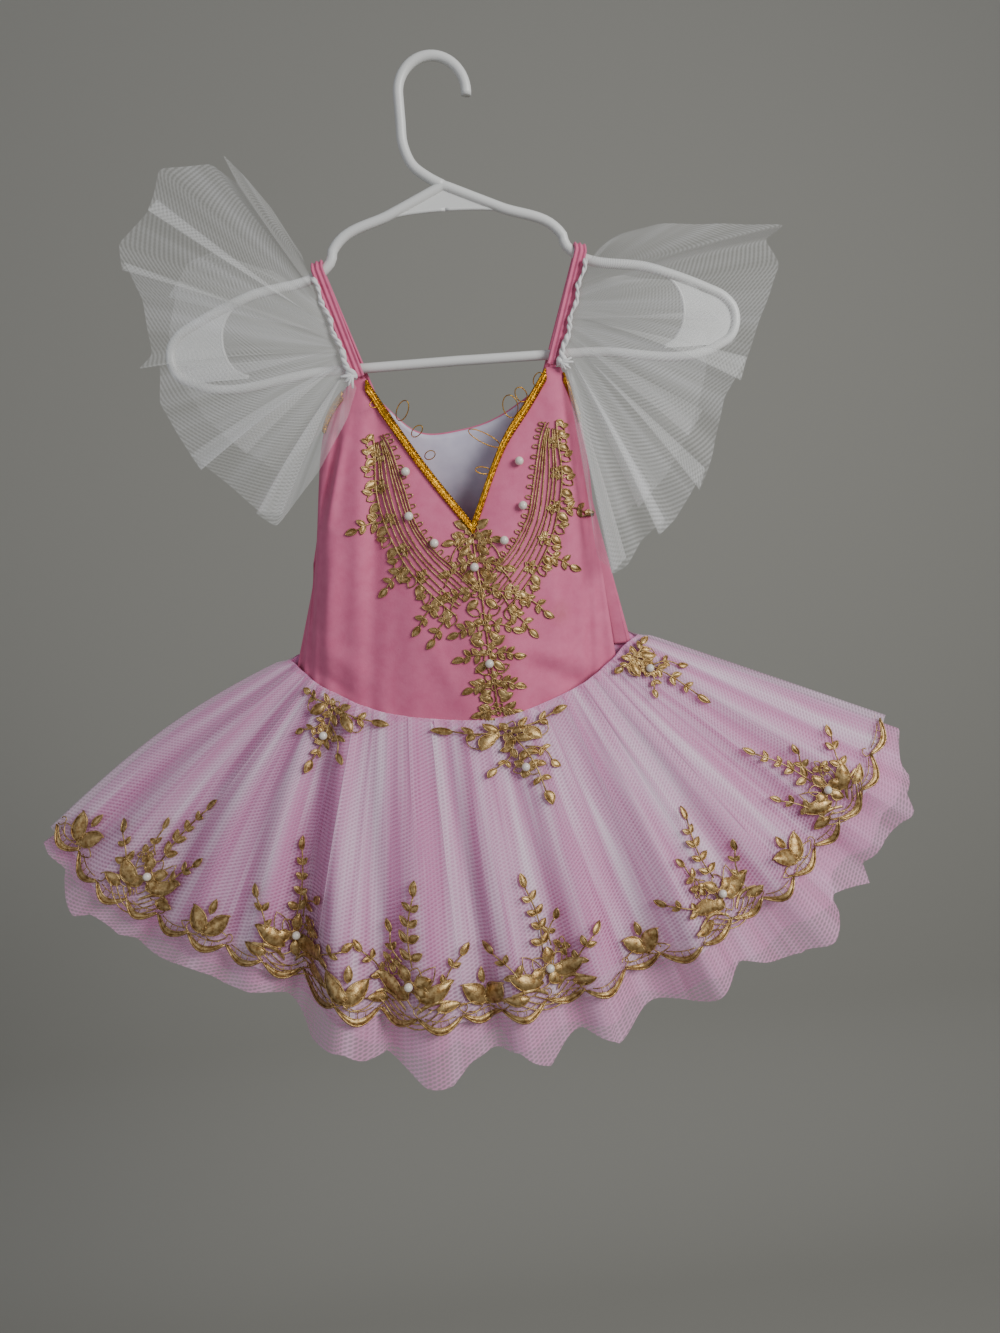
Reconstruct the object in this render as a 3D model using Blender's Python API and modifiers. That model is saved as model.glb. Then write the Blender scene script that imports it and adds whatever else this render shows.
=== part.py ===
"""A child's ballet dress on a white tubular hanger.

Tables and sizes are in millimetres and become metres when a mesh is made. +X is the wearer's
left on the photo's right side, the front faces -Y and +Z is up. The origin is the inside of
the hook's top, where the hanger is held.
"""

import math
from collections import namedtuple

import bmesh
import bpy
import numpy as np
from mathutils import Vector
from mathutils.bvhtree import BVHTree
from mathutils.geometry import delaunay_2d_cdt

MM = 0.001
SEAM_GAP = 0.3

# Cloth and trim walls
KNIT_WALL = 1.5
LINING_WALL = 1.0
TULLE_WALL = 1.2
STRAP_WALL = 2.4
LACE_WALL = 1.1
BRAID_WALL = 2.2
LACE_LIFT = 0.9
BODICE_LACE_LIFT = 1.2
BRAID_LIFT = 0.5

# Hanger
TUBE_RADIUS = 3.7
HOOK_RADIUS = 24.5
HOOK_CENTRE_X = -2.5
HOOK_TIP_DEGREES = -8
HOOK_STEPS = 14
STEM = ((-27, -38), (-26.6, -55), (-21, -69), (-11, -77.5), (0, -84))
ARM = (
    (0, -84),
    (41, -102),
    (80.5, -118.8),
    (84.8, -124),
    (86.4, -130.6),
    (90.6, -135.2),
    (150, -152),
    (190, -168.5),
    (203, -175.5),
    (210, -184),
    (211.5, -194),
    (207, -205),
    (197, -210.8),
    (100, -208.8),
)
BAR_Z = -208
WEB_THICKNESS = 2.4
NECK_WEB = ((-43, -103), (0, -84), (43, -103), (22, -101.2), (0, -100.5), (-22, -101.2))
GUSSET = (
    (148, -151),
    (190, -168.5),
    (210, -184),
    (211, -194),
    (197, -211),
    (157, -209.8),
    (169, -196),
    (173, -182),
    (166, -163),
)

# Straps: the front and back ends, and where each crosses the hanger's arm
STRAP_WIDTH = 9.0
STRAP_CREST = (97.0, -137.1)
STRAP_SLANT = 0.26
STRAP_FRONT_END = {-1: (-74.0, -9.6, -215.7), 1: (70.5, -9.6, -217.0)}
STRAP_BACK_END = {-1: (-67.0, 7.2, -230.2), 1: (65.0, 7.2, -230.2)}

# Skirt: where each rib leaves the waist seam and meets the top layer's hem, left to right
Rib = namedtuple("Rib", "around waist_x waist_y waist_z hem_x hem_y hem_z back_waist_z back_hem_z extra")
RIBS = (
    Rib(0.00, -151, 0, -420, -352, 0, -540, -420, -540, 12),
    Rib(0.10, -138, -15, -432, -302, -30, -590, -420, -592, 24),
    Rib(0.25, -117, -28, -446, -197, -76, -631, -419, -628, 24),
    Rib(0.40, -70, -40, -466, -86, -105, -675, -418, -648, 34),
    Rib(0.54, 2, -43, -475, 27, -104, -677, -418, -651, 36),
    Rib(0.69, 62, -33, -462, 145, -78, -653, -419, -640, 44),
    Rib(0.84, 98, -18, -444, 249, -42, -605, -421, -600, 48),
    Rib(0.93, 113, -10, -432, 297, -22, -557, -422, -556, 36),
    Rib(1.00, 126, 0, -423, 322, 0, -508, -423, -508, 16),
)
BACK_DEPTH_WAIST = 9.0
BACK_DEPTH_HEM = 13.0
BOW_LEFT = 12.0
BOW_FRONT = 8.0
FRONT_WAVES, BACK_WAVES = 14, 12
STEPS_PER_WAVE = 4
WAVE_AT_WAIST, WAVE_AT_HEM, BACK_WAVE_AT_HEM = 1.0, 6.0, 3.0
RIB_ROWS = 4
UNDER_GAP_WAIST, UNDER_GAP_HEM = 2.1, 6.5
RIB_LENGTH = 225.0
WAIST_SPREAD, HEM_SPREAD = 322.0, 812.0
TIP_SHARE = 0.06

# The largest folds of the skirt's front: forward is towards the viewer, at the hem
Fold = namedtuple("Fold", "around half_width forward")
SKIRT_FOLDS = (
    Fold(0.10, 0.035, 8),
    Fold(0.255, 0.030, -18),
    Fold(0.325, 0.030, 17),
    Fold(0.47, 0.030, 6),
    Fold(0.60, 0.035, -9),
    Fold(0.73, 0.030, 8),
    Fold(0.88, 0.030, -6),
)

# Front panel: its upper edge from underarm to underarm, by the share across the panel
Edge = namedtuple("Edge", "across x y z")
FRONT_EDGE = (
    Edge(0.00, -113, -2.0, -327),
    Edge(0.07, -111, -3.5, -300),
    Edge(0.13, -110, -5, -278),
    Edge(0.19, -103, -6, -250),
    Edge(0.25, -91, -7.5, -229),
    Edge(0.28, -79, -9, -217.6),
    Edge(0.31, -69, -10, -217.0),
    Edge(0.36, -57, -14, -238),
    Edge(0.45, -30, -21, -283),
    Edge(0.54, 0.6, -27, -328),
    Edge(0.62, 30, -18, -266),
    Edge(0.67, 49, -14, -241),
    Edge(0.73, 65, -10, -218.4),
    Edge(0.76, 76, -9, -219.0),
    Edge(0.82, 86, -7, -246),
    Edge(0.90, 92.5, -5, -283),
    Edge(1.00, 95, -4, -332),
)
FRONT_SEAMS = (0.012, 0.54, 0.885)
FRONT_BULGE = 9.0
PANEL_ROWS = 7
SEAM_ALLOWANCE = 12.0
WAIST_INSET = 4.6
WAIST_GAP_RIGHT = 7.0

# The front panel's largest drape folds, deepest half-way up
FRONT_FOLDS = (
    Fold(0.10, 0.040, -5),
    Fold(0.24, 0.050, 4),
    Fold(0.36, 0.040, -3),
    Fold(0.74, 0.050, 3),
    Fold(0.85, 0.045, -3),
)

# Back panel: its upper edge and its waist, left to right
BACK_EDGE = (
    Edge(0.00, -112.5, 0.6, -327),
    Edge(0.10, -109, 3, -300),
    Edge(0.20, -103, 6, -262),
    Edge(0.30, -88, 7.5, -240),
    Edge(0.36, -72, 8, -231.8),
    Edge(0.40, -62, 8, -231.2),
    Edge(0.48, -34, 8, -257),
    Edge(0.55, -4, 8, -258),
    Edge(0.62, 30, 8, -249),
    Edge(0.67, 60, 8, -231.2),
    Edge(0.71, 70, 8, -231.8),
    Edge(0.79, 84, 7, -247),
    Edge(0.90, 91, 4, -290),
    Edge(1.00, 94, -0.8, -332),
)
Waist = namedtuple("Waist", "across x y")
BACK_WAIST = (
    Waist(0.00, -145.5, 2.0),
    Waist(0.06, -141, 4.6),
    Waist(0.86, 108, 4.6),
    Waist(0.94, 119.5, 0.8),
    Waist(1.00, 104.5, 1.0),
)
BACK_WAIST_Z = -432.0
LINING_ACROSS = (0.42, 0.65)
LINING_DEPTH = 92.0

# Sleeves: the ends of the gathered edge, and the outer edge by share from strap top to root
Rim = namedtuple("Rim", "share x y z")
LEFT_RIM = (
    Rim(0.00, -122, -16, -92),
    Rim(0.08, -151, -24, -58),
    Rim(0.17, -193, -32, -60),
    Rim(0.27, -233, -36, -112),
    Rim(0.38, -222, -30, -150),
    Rim(0.48, -226, -28, -196),
    Rim(0.60, -205, -26, -258),
    Rim(0.72, -174, -34, -293),
    Rim(0.84, -155, -38, -321),
    Rim(0.93, -118, -30, -286),
    Rim(1.00, -96, -18, -252),
)
RIGHT_RIM = (
    Rim(0.00, 122, -14, -128),
    Rim(0.10, 160, -20, -124),
    Rim(0.20, 205, -28, -130),
    Rim(0.28, 236, -34, -134),
    Rim(0.38, 222, -30, -168),
    Rim(0.50, 204, -28, -214),
    Rim(0.62, 190, -26, -270),
    Rim(0.73, 170, -30, -314),
    Rim(0.84, 129, -34, -348),
    Rim(0.93, 104, -28, -366),
    Rim(1.00, 92, -18, -300),
)
SLEEVE_WAVES, SLEEVE_WAVE = 7, 7.0
SLEEVE_ROWS = 4
GATHER_FROM, GATHER_TO = 0.10, 0.97
BINDING_RADIUS = 1.6

# Lace layout: sprays and the links between them by their share round the hem, then sizes in
# millimetres along and up from it
FRONT_SPRAYS = (0.125, 0.295, 0.418, 0.545, 0.733, 0.90)
FRONT_LINKS = (0.035, 0.208, 0.356, 0.483, 0.64, 0.82)
BACK_SPRAYS = (0.10, 0.30, 0.50, 0.70, 0.90)
BACK_LINKS = (0.20, 0.40, 0.60, 0.80)
SCALLOPS = 20
SCALLOP_DEPTH = 3.0
NOTCH_UP = 5.0
HEM_END = 6.0
LACE_REACH = 110.0
BAND = 14.0
EYELET = (16.0, 5.6)
Leaf = namedtuple("Leaf", "along up degrees length width")
SPRAY = (
    Leaf(0, 22, 90, 30, 22),
    Leaf(0, 48, 90, 34, 9),
    Leaf(-3, 70, 118, 17, 8),
    Leaf(4, 70, 62, 17, 8),
    Leaf(-15, 24, 150, 30, 12),
    Leaf(15, 24, 30, 30, 12),
)
SPRAY_GAPS = (Leaf(-6, 27, 62, 9, 5), Leaf(6, 27, 118, 9, 5))
LINK = (Leaf(0, 18, 50, 22, 10), Leaf(0, 18, 130, 22, 10))

# Bodice lace: the line through the left lobe and its width; the right lobe mirrors it
Lobe = namedtuple("Lobe", "x z width")
LOBE = (
    Lobe(-65, -258, 8),
    Lobe(-61, -272, 17),
    Lobe(-60, -300, 27),
    Lobe(-53, -330, 28),
    Lobe(-39, -353, 32),
    Lobe(-18, -373, 36),
    Lobe(0, -386, 40),
)
LOBE_GAPS = ((-55, -282), (-54, -306), (-46, -330), (-31, -350))
COLUMN = (Lobe(1, -345, 26), Lobe(2, -384, 38), Lobe(4, -412, 30), Lobe(6, -440, 26), Lobe(8, -462, 16))
LACE_AXIS_X = 1.0
LOBE_LEAF = (12.0, 7.0)

# Waist lace: place along and below the seam as shares of the skirt, then leaves in millimetres
WaistLace = namedtuple("WaistLace", "name around lean drop top lift")
WAIST_LACES = (
    WaistLace("waist_lace_left", 0.275, -8, 62, 60, 1.4),
    WaistLace("waist_lace_centre", 0.565, 14, 66, 56, 1.4),
    WaistLace("waist_lace_right", 0.905, 4, 70, 34, 0.6),
)
WAIST_LACE_UP = 4.0

COLOURS = {
    "knit": ((0.72, 0.21, 0.36, 1), 0.6, 0),
    "lining": ((0.62, 0.60, 0.72, 1), 0.8, 0),
    "pink tulle": ((0.76, 0.45, 0.66, 1), 0.7, 0),
    "white tulle": ((0.80, 0.80, 0.77, 1), 0.7, 0),
    "gold lace": ((0.42, 0.29, 0.13, 1), 0.4, 0.8),
    "gold braid": ((0.50, 0.29, 0.04, 1), 0.3, 1.0),
    "white plastic": ((0.80, 0.80, 0.77, 1), 0.35, 0),
}


def clear_scene():
    """Remove whatever the scene holds."""
    for thing in list(bpy.data.objects):
        bpy.data.objects.remove(thing, do_unlink=True)


def material(name):
    """The plain material of one cloth, trim or plastic."""
    found = bpy.data.materials.get(name)
    if found:
        return found
    made = bpy.data.materials.new(name)
    made.use_nodes = True
    shader = made.node_tree.nodes["Principled BSDF"]
    colour, roughness, metallic = COLOURS[name]
    shader.inputs["Base Color"].default_value = colour
    shader.inputs["Roughness"].default_value = roughness
    shader.inputs["Metallic"].default_value = metallic
    return made


def smooth(table, column, at):
    """A column of a table read at any place along its first column, on a cubic curve."""
    knots = np.array([row[0] for row in table], float)
    values = np.array([getattr(row, column) for row in table], float)
    slopes = np.gradient(values, knots)
    i = int(np.clip(np.searchsorted(knots, at, side="right") - 1, 0, len(knots) - 2))
    step = knots[i + 1] - knots[i]
    t = (at - knots[i]) / step
    ends = (1 + 2 * t) * (1 - t) ** 2 * values[i] + t * t * (3 - 2 * t) * values[i + 1]
    turns = t * (1 - t) ** 2 * slopes[i] + t * t * (t - 1) * slopes[i + 1]
    return float(ends + step * turns)


def straight(table, column, at):
    """A column of a table read at any place along its first column, on straight lines."""
    return float(np.interp(at, [row[0] for row in table], [getattr(row, column) for row in table]))


def bump(at, centre, half_width):
    """A bell from 0 to 1 round a centre."""
    return math.exp(-(((at - centre) / half_width) ** 2))


def add_object(name, mesh, kind, collection):
    """Link a mesh into the dress's collection with its material."""
    made = bpy.data.objects.new(name, mesh)
    made.data.materials.append(material(kind))
    collection.objects.link(made)
    return made


def sheet_mesh(name, rows, closed=False, flip=False):
    """A mesh through rows of points, each row as long as the last; closed joins each row's ends."""
    count = len(rows[0])
    points = [Vector(point) * MM for row in rows for point in row]
    faces = []
    for r in range(len(rows) - 1):
        for c in range(count if closed else count - 1):
            after = (c + 1) % count
            quad = (r * count + c, r * count + after, (r + 1) * count + after, (r + 1) * count + c)
            faces.append(quad[::-1] if flip else quad)
    mesh = bpy.data.meshes.new(name)
    mesh.from_pydata(points, [], faces)
    mesh.shade_smooth()
    return mesh


def thicken(thing, wall, outward=False):
    """Give an open surface its wall, inside its own face or, for trim, outside it."""
    solidify = thing.modifiers.new("wall", "SOLIDIFY")
    solidify.thickness = wall * MM
    solidify.offset = 1 if outward else -1
    return thing


def tip_fade(around):
    """0 at the skirt's two side folds and 1 away from them."""
    return min(1.0, math.sin(math.pi * min(max(around, 0), 1)) / math.sin(math.pi * TIP_SHARE))


def wave(around, count):
    """Uneven gathers, count of them from side to side, between -1 and 1."""
    warp = around + 0.010 * math.sin(2 * math.pi * 2.6 * around)
    warp += 0.006 * math.sin(2 * math.pi * 5.3 * around)
    swell = 0.78 + 0.22 * math.sin(2 * math.pi * 3.7 * around + 1)
    return swell * math.sin(2 * math.pi * count * warp)


def side_normal(around):
    """The way out of the fan's edge at its left or right fold, level with the rib there."""
    rib = RIBS[0] if around < 0.5 else RIBS[-1]
    along = Vector((rib.hem_x - rib.waist_x, 0, rib.hem_z - rib.waist_z)).normalized()
    out = Vector((along.z, 0, -along.x))
    return out if out.z > 0 else -out


def skirt_point(front, around, down, inset=0.0):
    """A point of the skirt: around 0 to 1 from left to right, down 0 at the waist and 1 at the hem."""
    read = {name: smooth(RIBS, name, around) for name in Rib._fields[1:]}
    bow_up = BOW_LEFT * (1 - around) ** 3 * math.sin(math.pi * min(down, 1))
    x = read["waist_x"] + (read["hem_x"] - read["waist_x"]) * down
    fade = tip_fade(around)
    if front:
        y = read["waist_y"] + (read["hem_y"] - read["waist_y"]) * down
        y -= BOW_FRONT * math.sin(math.pi * around) * math.sin(math.pi * min(down, 1))
        z = read["waist_z"] + (read["hem_z"] - read["waist_z"]) * down
        reach = WAVE_AT_WAIST + (WAVE_AT_HEM - WAVE_AT_WAIST) * down
        lift = reach * wave(around, FRONT_WAVES)
        lift += down * sum(f.forward * bump(around, f.around, f.half_width) for f in SKIRT_FOLDS)
        y += fade * (inset - lift)
    else:
        y = (BACK_DEPTH_WAIST + (BACK_DEPTH_HEM - BACK_DEPTH_WAIST) * down) * math.sqrt(fade)
        z = read["back_waist_z"] + (read["back_hem_z"] - read["back_waist_z"]) * down
        reach = 0.5 * WAVE_AT_WAIST + (BACK_WAVE_AT_HEM - 0.5 * WAVE_AT_WAIST) * down
        y += fade * (reach * wave(around, BACK_WAVES) - inset)
    point = Vector((x, y, z + bow_up))
    return point - side_normal(around) * inset * (1 - fade)


def ring():
    """The places round the skirt, front left to right and back right to left."""
    front_steps, back_steps = FRONT_WAVES * STEPS_PER_WAVE, BACK_WAVES * STEPS_PER_WAVE
    front = [(True, i / front_steps) for i in range(front_steps)]
    back = [(False, 1 - i / back_steps) for i in range(back_steps)]
    return front + back


def skirt_rows(shares, gap_waist, gap_hem, extra):
    """Rows of points from waist to hem; extra rows run past the hem by each rib's extra length."""
    rows = []
    for share in shares:
        gap = gap_waist + (gap_hem - gap_waist) * min(share, 1)
        rows.append([skirt_point(front, around, share, gap) for front, around in ring()])
    if extra:
        last = []
        for front, around in ring():
            rib = skirt_point(front, around, 1, gap_hem) - skirt_point(front, around, 0, gap_waist)
            longer = smooth(RIBS, "extra", around) * (1 + 0.18 * wave(around, FRONT_WAVES))
            last.append(skirt_point(front, around, 1 + longer / rib.length, gap_hem))
        rows.append(last)
    return rows


def build_skirt(collection):
    """Both tulle layers, each a ring of gathered cloth."""
    shares = [i / RIB_ROWS for i in range(RIB_ROWS + 1)]
    top = sheet_mesh("skirt_top", skirt_rows(shares, 0, 0, False), closed=True, flip=True)
    thicken(add_object("skirt_top", top, "pink tulle", collection), TULLE_WALL)
    rows = skirt_rows(shares, UNDER_GAP_WAIST, UNDER_GAP_HEM, True)
    under = sheet_mesh("skirt_under", rows, closed=True, flip=True)
    thicken(add_object("skirt_under", under, "pink tulle", collection), TULLE_WALL)


def front_waist(across):
    """The front panel's lower edge, inside the skirt's waist."""
    around = float(np.interp(across, (0, 0.54, 1), FRONT_SEAMS))
    point = skirt_point(True, around, 0)
    point.y += WAIST_INSET + WAIST_GAP_RIGHT * bump(around, 0.76, 0.12)
    point.y = min(point.y, -0.6)
    point.x += WAIST_INSET * (1 - min(1, around / 0.1))
    point.z -= SEAM_ALLOWANCE
    return point


def front_point(across, up):
    """A point of the front panel: across 0 to 1 from left to right, up 0 at the waist and 1 at the top."""
    low = front_waist(across)
    high = Vector([straight(FRONT_EDGE, axis, across) for axis in "xyz"])
    point = low.lerp(high, up)
    point.y -= FRONT_BULGE * math.sin(math.pi * up) * math.sin(math.pi * across)
    shape = 4 * up * (1 - up) * min(1, 8 * across, 8 * (1 - across))
    point.y -= shape * sum(f.forward * bump(across, f.around, f.half_width) for f in FRONT_FOLDS)
    return point


def back_point(across, up):
    """A point of the back panel, in the same terms as the front's."""
    low = Vector((straight(BACK_WAIST, "x", across), straight(BACK_WAIST, "y", across), BACK_WAIST_Z))
    return low.lerp(Vector([straight(BACK_EDGE, axis, across) for axis in "xyz"]), up)


def panel_places(table, more=()):
    """Each place in an edge table and the middle between it and the next, with more places added."""
    knots = [row.across for row in table]
    middles = [(a + b) / 2 for a, b in zip(knots, knots[1:])]
    return sorted(set(knots + middles + list(more)))


def build_bodice(collection):
    """The two knit panels and the piece of lining that shows inside the back neck."""
    ups = [i / PANEL_ROWS for i in range(PANEL_ROWS + 1)]
    places = panel_places(FRONT_EDGE)
    rows = [[front_point(a, up) for a in places] for up in ups]
    front = add_object("bodice_front", sheet_mesh("bodice_front", rows), "knit", collection)
    thicken(front, KNIT_WALL)
    places = panel_places(BACK_EDGE)
    rows = [[back_point(a, up) for a in places] for up in ups]
    back = add_object("bodice_back", sheet_mesh("bodice_back", rows, flip=True), "knit", collection)
    thicken(back, KNIT_WALL)
    rows = []
    inner = Vector((0, -(KNIT_WALL + SEAM_GAP), 0))
    for row in range(4):
        line = []
        for a in panel_places(BACK_EDGE, LINING_ACROSS):
            if LINING_ACROSS[0] <= a <= LINING_ACROSS[1]:
                length = (back_point(a, 1) - back_point(a, 0)).length
                line.append(back_point(a, 1 - (1.2 + LINING_DEPTH * row / 3) / length) + inner)
        rows.append(line)
    lining = sheet_mesh("back_lining", rows[::-1], flip=True)
    thicken(add_object("back_lining", lining, "lining", collection), LINING_WALL)


def strap_path(side):
    """The middle of a strap: up the front, over the hanger's arm and down the back."""
    ring_radius = TUBE_RADIUS + SEAM_GAP + STRAP_WALL / 2 + 0.2
    crest_x, arm_z = side * STRAP_CREST[0], STRAP_CREST[1]
    front_end, back_end = Vector(STRAP_FRONT_END[side]), Vector(STRAP_BACK_END[side])
    path = []
    for degrees in range(180, -1, -30):
        turn = math.radians(degrees)
        path.append(Vector((crest_x, ring_radius * math.cos(turn), arm_z + ring_radius * math.sin(turn))))
    front = [front_end.lerp(path[0], share) for share in (0, 0.25, 0.5, 0.75, 0.95)]
    back = [path[-1].lerp(back_end, share) for share in (0.05, 0.25, 0.5, 0.75, 1)]
    return front + path + back


def strap_rows(side):
    """A strap's lengthwise rows of points."""
    across = Vector((1, 0, -side * STRAP_SLANT)).normalized()
    path = strap_path(side)
    return [[point + across * STRAP_WIDTH * share for point in path] for share in (-0.5, 0, 0.5)]


def build_straps(collection):
    """Both straps, as folded bands of knit."""
    for side, name in ((-1, "strap_left"), (1, "strap_right")):
        strap = add_object(name, sheet_mesh(name, strap_rows(side)), "knit", collection)
        thicken(strap, STRAP_WALL).modifiers["wall"].offset = 0


def gather_point(side, share):
    """The gathered edge of a sleeve, along the strap's outer edge from its top to its root."""
    path = strap_path(side)
    top, root = path[4], path[0]
    low, high = root.lerp(top, 1 - GATHER_TO), root.lerp(top, 1 - GATHER_FROM)
    point = high.lerp(low, share)
    return point + Vector((side * (STRAP_WIDTH / 2 / math.cos(STRAP_SLANT) + SEAM_GAP + 1.2), 0, 0))


def sleeve_point(side, rim, share, out):
    """A point of a sleeve: share 0 at the strap's top and 1 at its root, out 1 at the rim."""
    edge = Vector([smooth(rim, axis, share) for axis in "xyz"])
    point = gather_point(side, share).lerp(edge, out)
    fade = min(1, 6 * share, 6 * (1 - share))
    point.y += SLEEVE_WAVE * out * fade * math.sin(2 * math.pi * SLEEVE_WAVES * share)
    point.y -= 6 * math.sin(math.pi * out)
    return point


def build_sleeves(collection):
    """Both tulle sleeves, fanned out from the straps, with their rolled bindings."""
    steps = SLEEVE_WAVES * STEPS_PER_WAVE
    for side, rim, word in ((-1, LEFT_RIM, "left"), (1, RIGHT_RIM, "right")):
        rows = [
            [sleeve_point(side, rim, i / steps, out / SLEEVE_ROWS) for i in range(steps + 1)]
            for out in range(SLEEVE_ROWS + 1)
        ]
        name = "sleeve_" + word
        sleeve = add_object(name, sheet_mesh(name, rows, flip=side > 0), "white tulle", collection)
        thicken(sleeve, TULLE_WALL).modifiers["wall"].offset = 0
        seat = Vector((-side * 1.6, -(STRAP_WALL / 2 + BINDING_RADIUS + SEAM_GAP), 0))
        path = [gather_point(side, share) + seat for share in (0.02, 0.25, 0.5, 0.75, 0.98)]
        tube("sleeve_binding_" + word, path, BINDING_RADIUS, "white tulle", collection)


def tube(name, path, radius, kind, collection, cyclic=False, sides=2):
    """A round bar along a path."""
    curve = bpy.data.curves.new(name, "CURVE")
    curve.dimensions = "3D"
    curve.bevel_depth = radius * MM
    curve.bevel_resolution = sides
    curve.use_fill_caps = True
    spline = curve.splines.new("POLY")
    spline.points.add(len(path) - 1)
    for slot, point in zip(spline.points, path):
        slot.co = (*(Vector(point) * MM), 1)
    spline.use_cyclic_u = cyclic
    made = bpy.data.objects.new(name, curve)
    made.data.materials.append(material(kind))
    collection.objects.link(made)
    return made


def plate(name, outline, thickness, kind, collection):
    """A flat web in the hanger's plane."""
    curve = bpy.data.curves.new(name, "CURVE")
    curve.dimensions = "2D"
    curve.fill_mode = "BOTH"
    curve.extrude = thickness / 2 * MM
    spline = curve.splines.new("POLY")
    spline.points.add(len(outline) - 1)
    for slot, (x, z) in zip(spline.points, outline):
        slot.co = (x * MM, z * MM, 0, 1)
    spline.use_cyclic_u = True
    made = bpy.data.objects.new(name, curve)
    made.rotation_euler = (math.pi / 2, 0, 0)
    made.data.materials.append(material(kind))
    collection.objects.link(made)
    return made


def as_mesh(thing, collection):
    """The same object with its curve turned into a welded mesh, ready to be joined."""
    bpy.context.view_layer.update()
    evaluated = thing.evaluated_get(bpy.context.evaluated_depsgraph_get())
    mesh = bpy.data.meshes.new_from_object(evaluated)
    work = bmesh.new()
    work.from_mesh(mesh)
    bmesh.ops.remove_doubles(work, verts=work.verts, dist=1e-6)
    bmesh.ops.recalc_face_normals(work, faces=work.faces)
    work.to_mesh(mesh)
    work.free()
    name = thing.name
    matrix = thing.matrix_world.copy()
    bpy.data.objects.remove(thing, do_unlink=True)
    made = bpy.data.objects.new(name, mesh)
    made.matrix_world = matrix
    collection.objects.link(made)
    return made


def hanger_paths():
    """The hook with its stem, and the closed loop of the arms and the bar."""
    centre_z = TUBE_RADIUS - HOOK_RADIUS
    hook = []
    for i in range(HOOK_STEPS + 1):
        turn = math.radians(HOOK_TIP_DEGREES + (180 - HOOK_TIP_DEGREES) * i / HOOK_STEPS)
        x = HOOK_CENTRE_X + HOOK_RADIUS * math.cos(turn)
        hook.append(Vector((x, 0, centre_z + HOOK_RADIUS * math.sin(turn))))
    hook += [Vector((x, 0, z)) for x, z in STEM]
    right = [Vector((x, 0, z)) for x, z in ARM]
    left = [Vector((-p.x, 0, p.z)) for p in reversed(right[1:])]
    return hook, right + [Vector((0, 0, BAR_Z))] + left


def build_hanger(collection, cutters):
    """The moulded hanger: hook, arms and bar of one round tube, with flat webs in its corners."""
    hook, loop = hanger_paths()
    hanger = as_mesh(tube("hanger", loop, TUBE_RADIUS, "white plastic", collection, cyclic=True), collection)
    mirrored = [(-x, z) for x, z in reversed(GUSSET)]
    joined = [
        tube("hook", hook, TUBE_RADIUS, "white plastic", collection),
        plate("neck web", NECK_WEB, WEB_THICKNESS, "white plastic", collection),
        plate("right web", GUSSET, WEB_THICKNESS, "white plastic", collection),
        plate("left web", mirrored, WEB_THICKNESS, "white plastic", collection),
    ]
    for thing in joined:
        piece = as_mesh(thing, cutters)
        piece.hide_render = True
        piece.display_type = "WIRE"
        union = hanger.modifiers.new(piece.name, "BOOLEAN")
        union.operation = "UNION"
        union.object = piece
    hanger.data.shade_smooth()
    hanger.data.set_sharp_from_angle(angle=math.radians(40))


def strip_on_front(name, start, end, steps, width, collection):
    """A braid lying on the front panel along its upper edge."""
    rows = []
    for row in range(3):
        line = []
        for i in range(steps + 1):
            across = start + (end - start) * i / steps
            length = (front_point(across, 1) - front_point(across, 0)).length
            line.append(lifted(front_point, across, 1 - (0.6 + width * row / 2) / length, BRAID_LIFT))
        rows.append(line)
    mesh = sheet_mesh(name, rows[::-1])
    thicken(add_object(name, mesh, "gold braid", collection), BRAID_WALL, outward=True)


def lifted(surface, a, b, lift):
    """A point of a surface moved straight out by lift, towards the viewer's side."""
    step = 0.004
    low_a, high_a = max(a - step, 0), min(a + step, 1)
    along = surface(high_a, b) - surface(low_a, b)
    up = surface(a, b + step) - surface(a, b - step)
    out = along.cross(up).normalized()
    return surface(a, b) + out * lift


def build_braids(collection):
    """The gold braid on the V neck and on the tops of the armholes."""
    strip_on_front("neck_braid", 0.312, 0.728, 26, 9.0, collection)
    strip_on_front("armhole_braid_left", 0.195, 0.262, 5, 7.0, collection)
    strip_on_front("armhole_braid_right", 0.768, 0.835, 5, 7.0, collection)


def leaf(along, up, degrees, length, width):
    """A pointed leaf as an outline of six points."""
    turn = math.radians(degrees)
    c, s = math.cos(turn), math.sin(turn)
    half, third, side = length / 2, length / 6, width / 2
    shape = ((-half, 0), (-third, -side), (third, -side), (half, 0), (third, side), (-third, side))
    return [(along + x * c - y * s, up + x * s + y * c) for x, y in shape]


def diamond(along, up, degrees, length, width):
    """A leaf of four points."""
    outline = leaf(along, up, degrees, length, width)
    middles = []
    for i in (1, 4):
        a, b = outline[i], outline[i + 1]
        middles.append(((a[0] + b[0]) / 2, (a[1] + b[1]) / 2))
    return [outline[0], middles[0], outline[3], middles[1]]


def left_turning(outline):
    """The outline with its points in left-turning order."""
    pairs = zip(outline, outline[1:] + outline[:1])
    area = sum(a[0] * b[1] - b[0] * a[1] for a, b in pairs)
    return outline if area > 0 else outline[::-1]


def joined_outlines(shapes, gaps, lines):
    """Triangles that cover the shapes but not the gaps, also cut along the lines."""
    points, faces, edges = [], [], []
    for outline in list(shapes) + list(gaps):
        start = len(points)
        points += [Vector(p) for p in left_turning(outline)]
        faces.append(list(range(start, len(points))))
    for a, b in lines:
        edges.append((len(points), len(points) + 1))
        points += [Vector(a), Vector(b)]
    corners, _, triangles, _, _, sources = delaunay_2d_cdt(points, edges, faces, 0, 1e-4)
    kept = [
        triangle
        for triangle, source in zip(triangles, sources)
        if source and max(source) < len(shapes)
    ]
    return corners, kept


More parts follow.
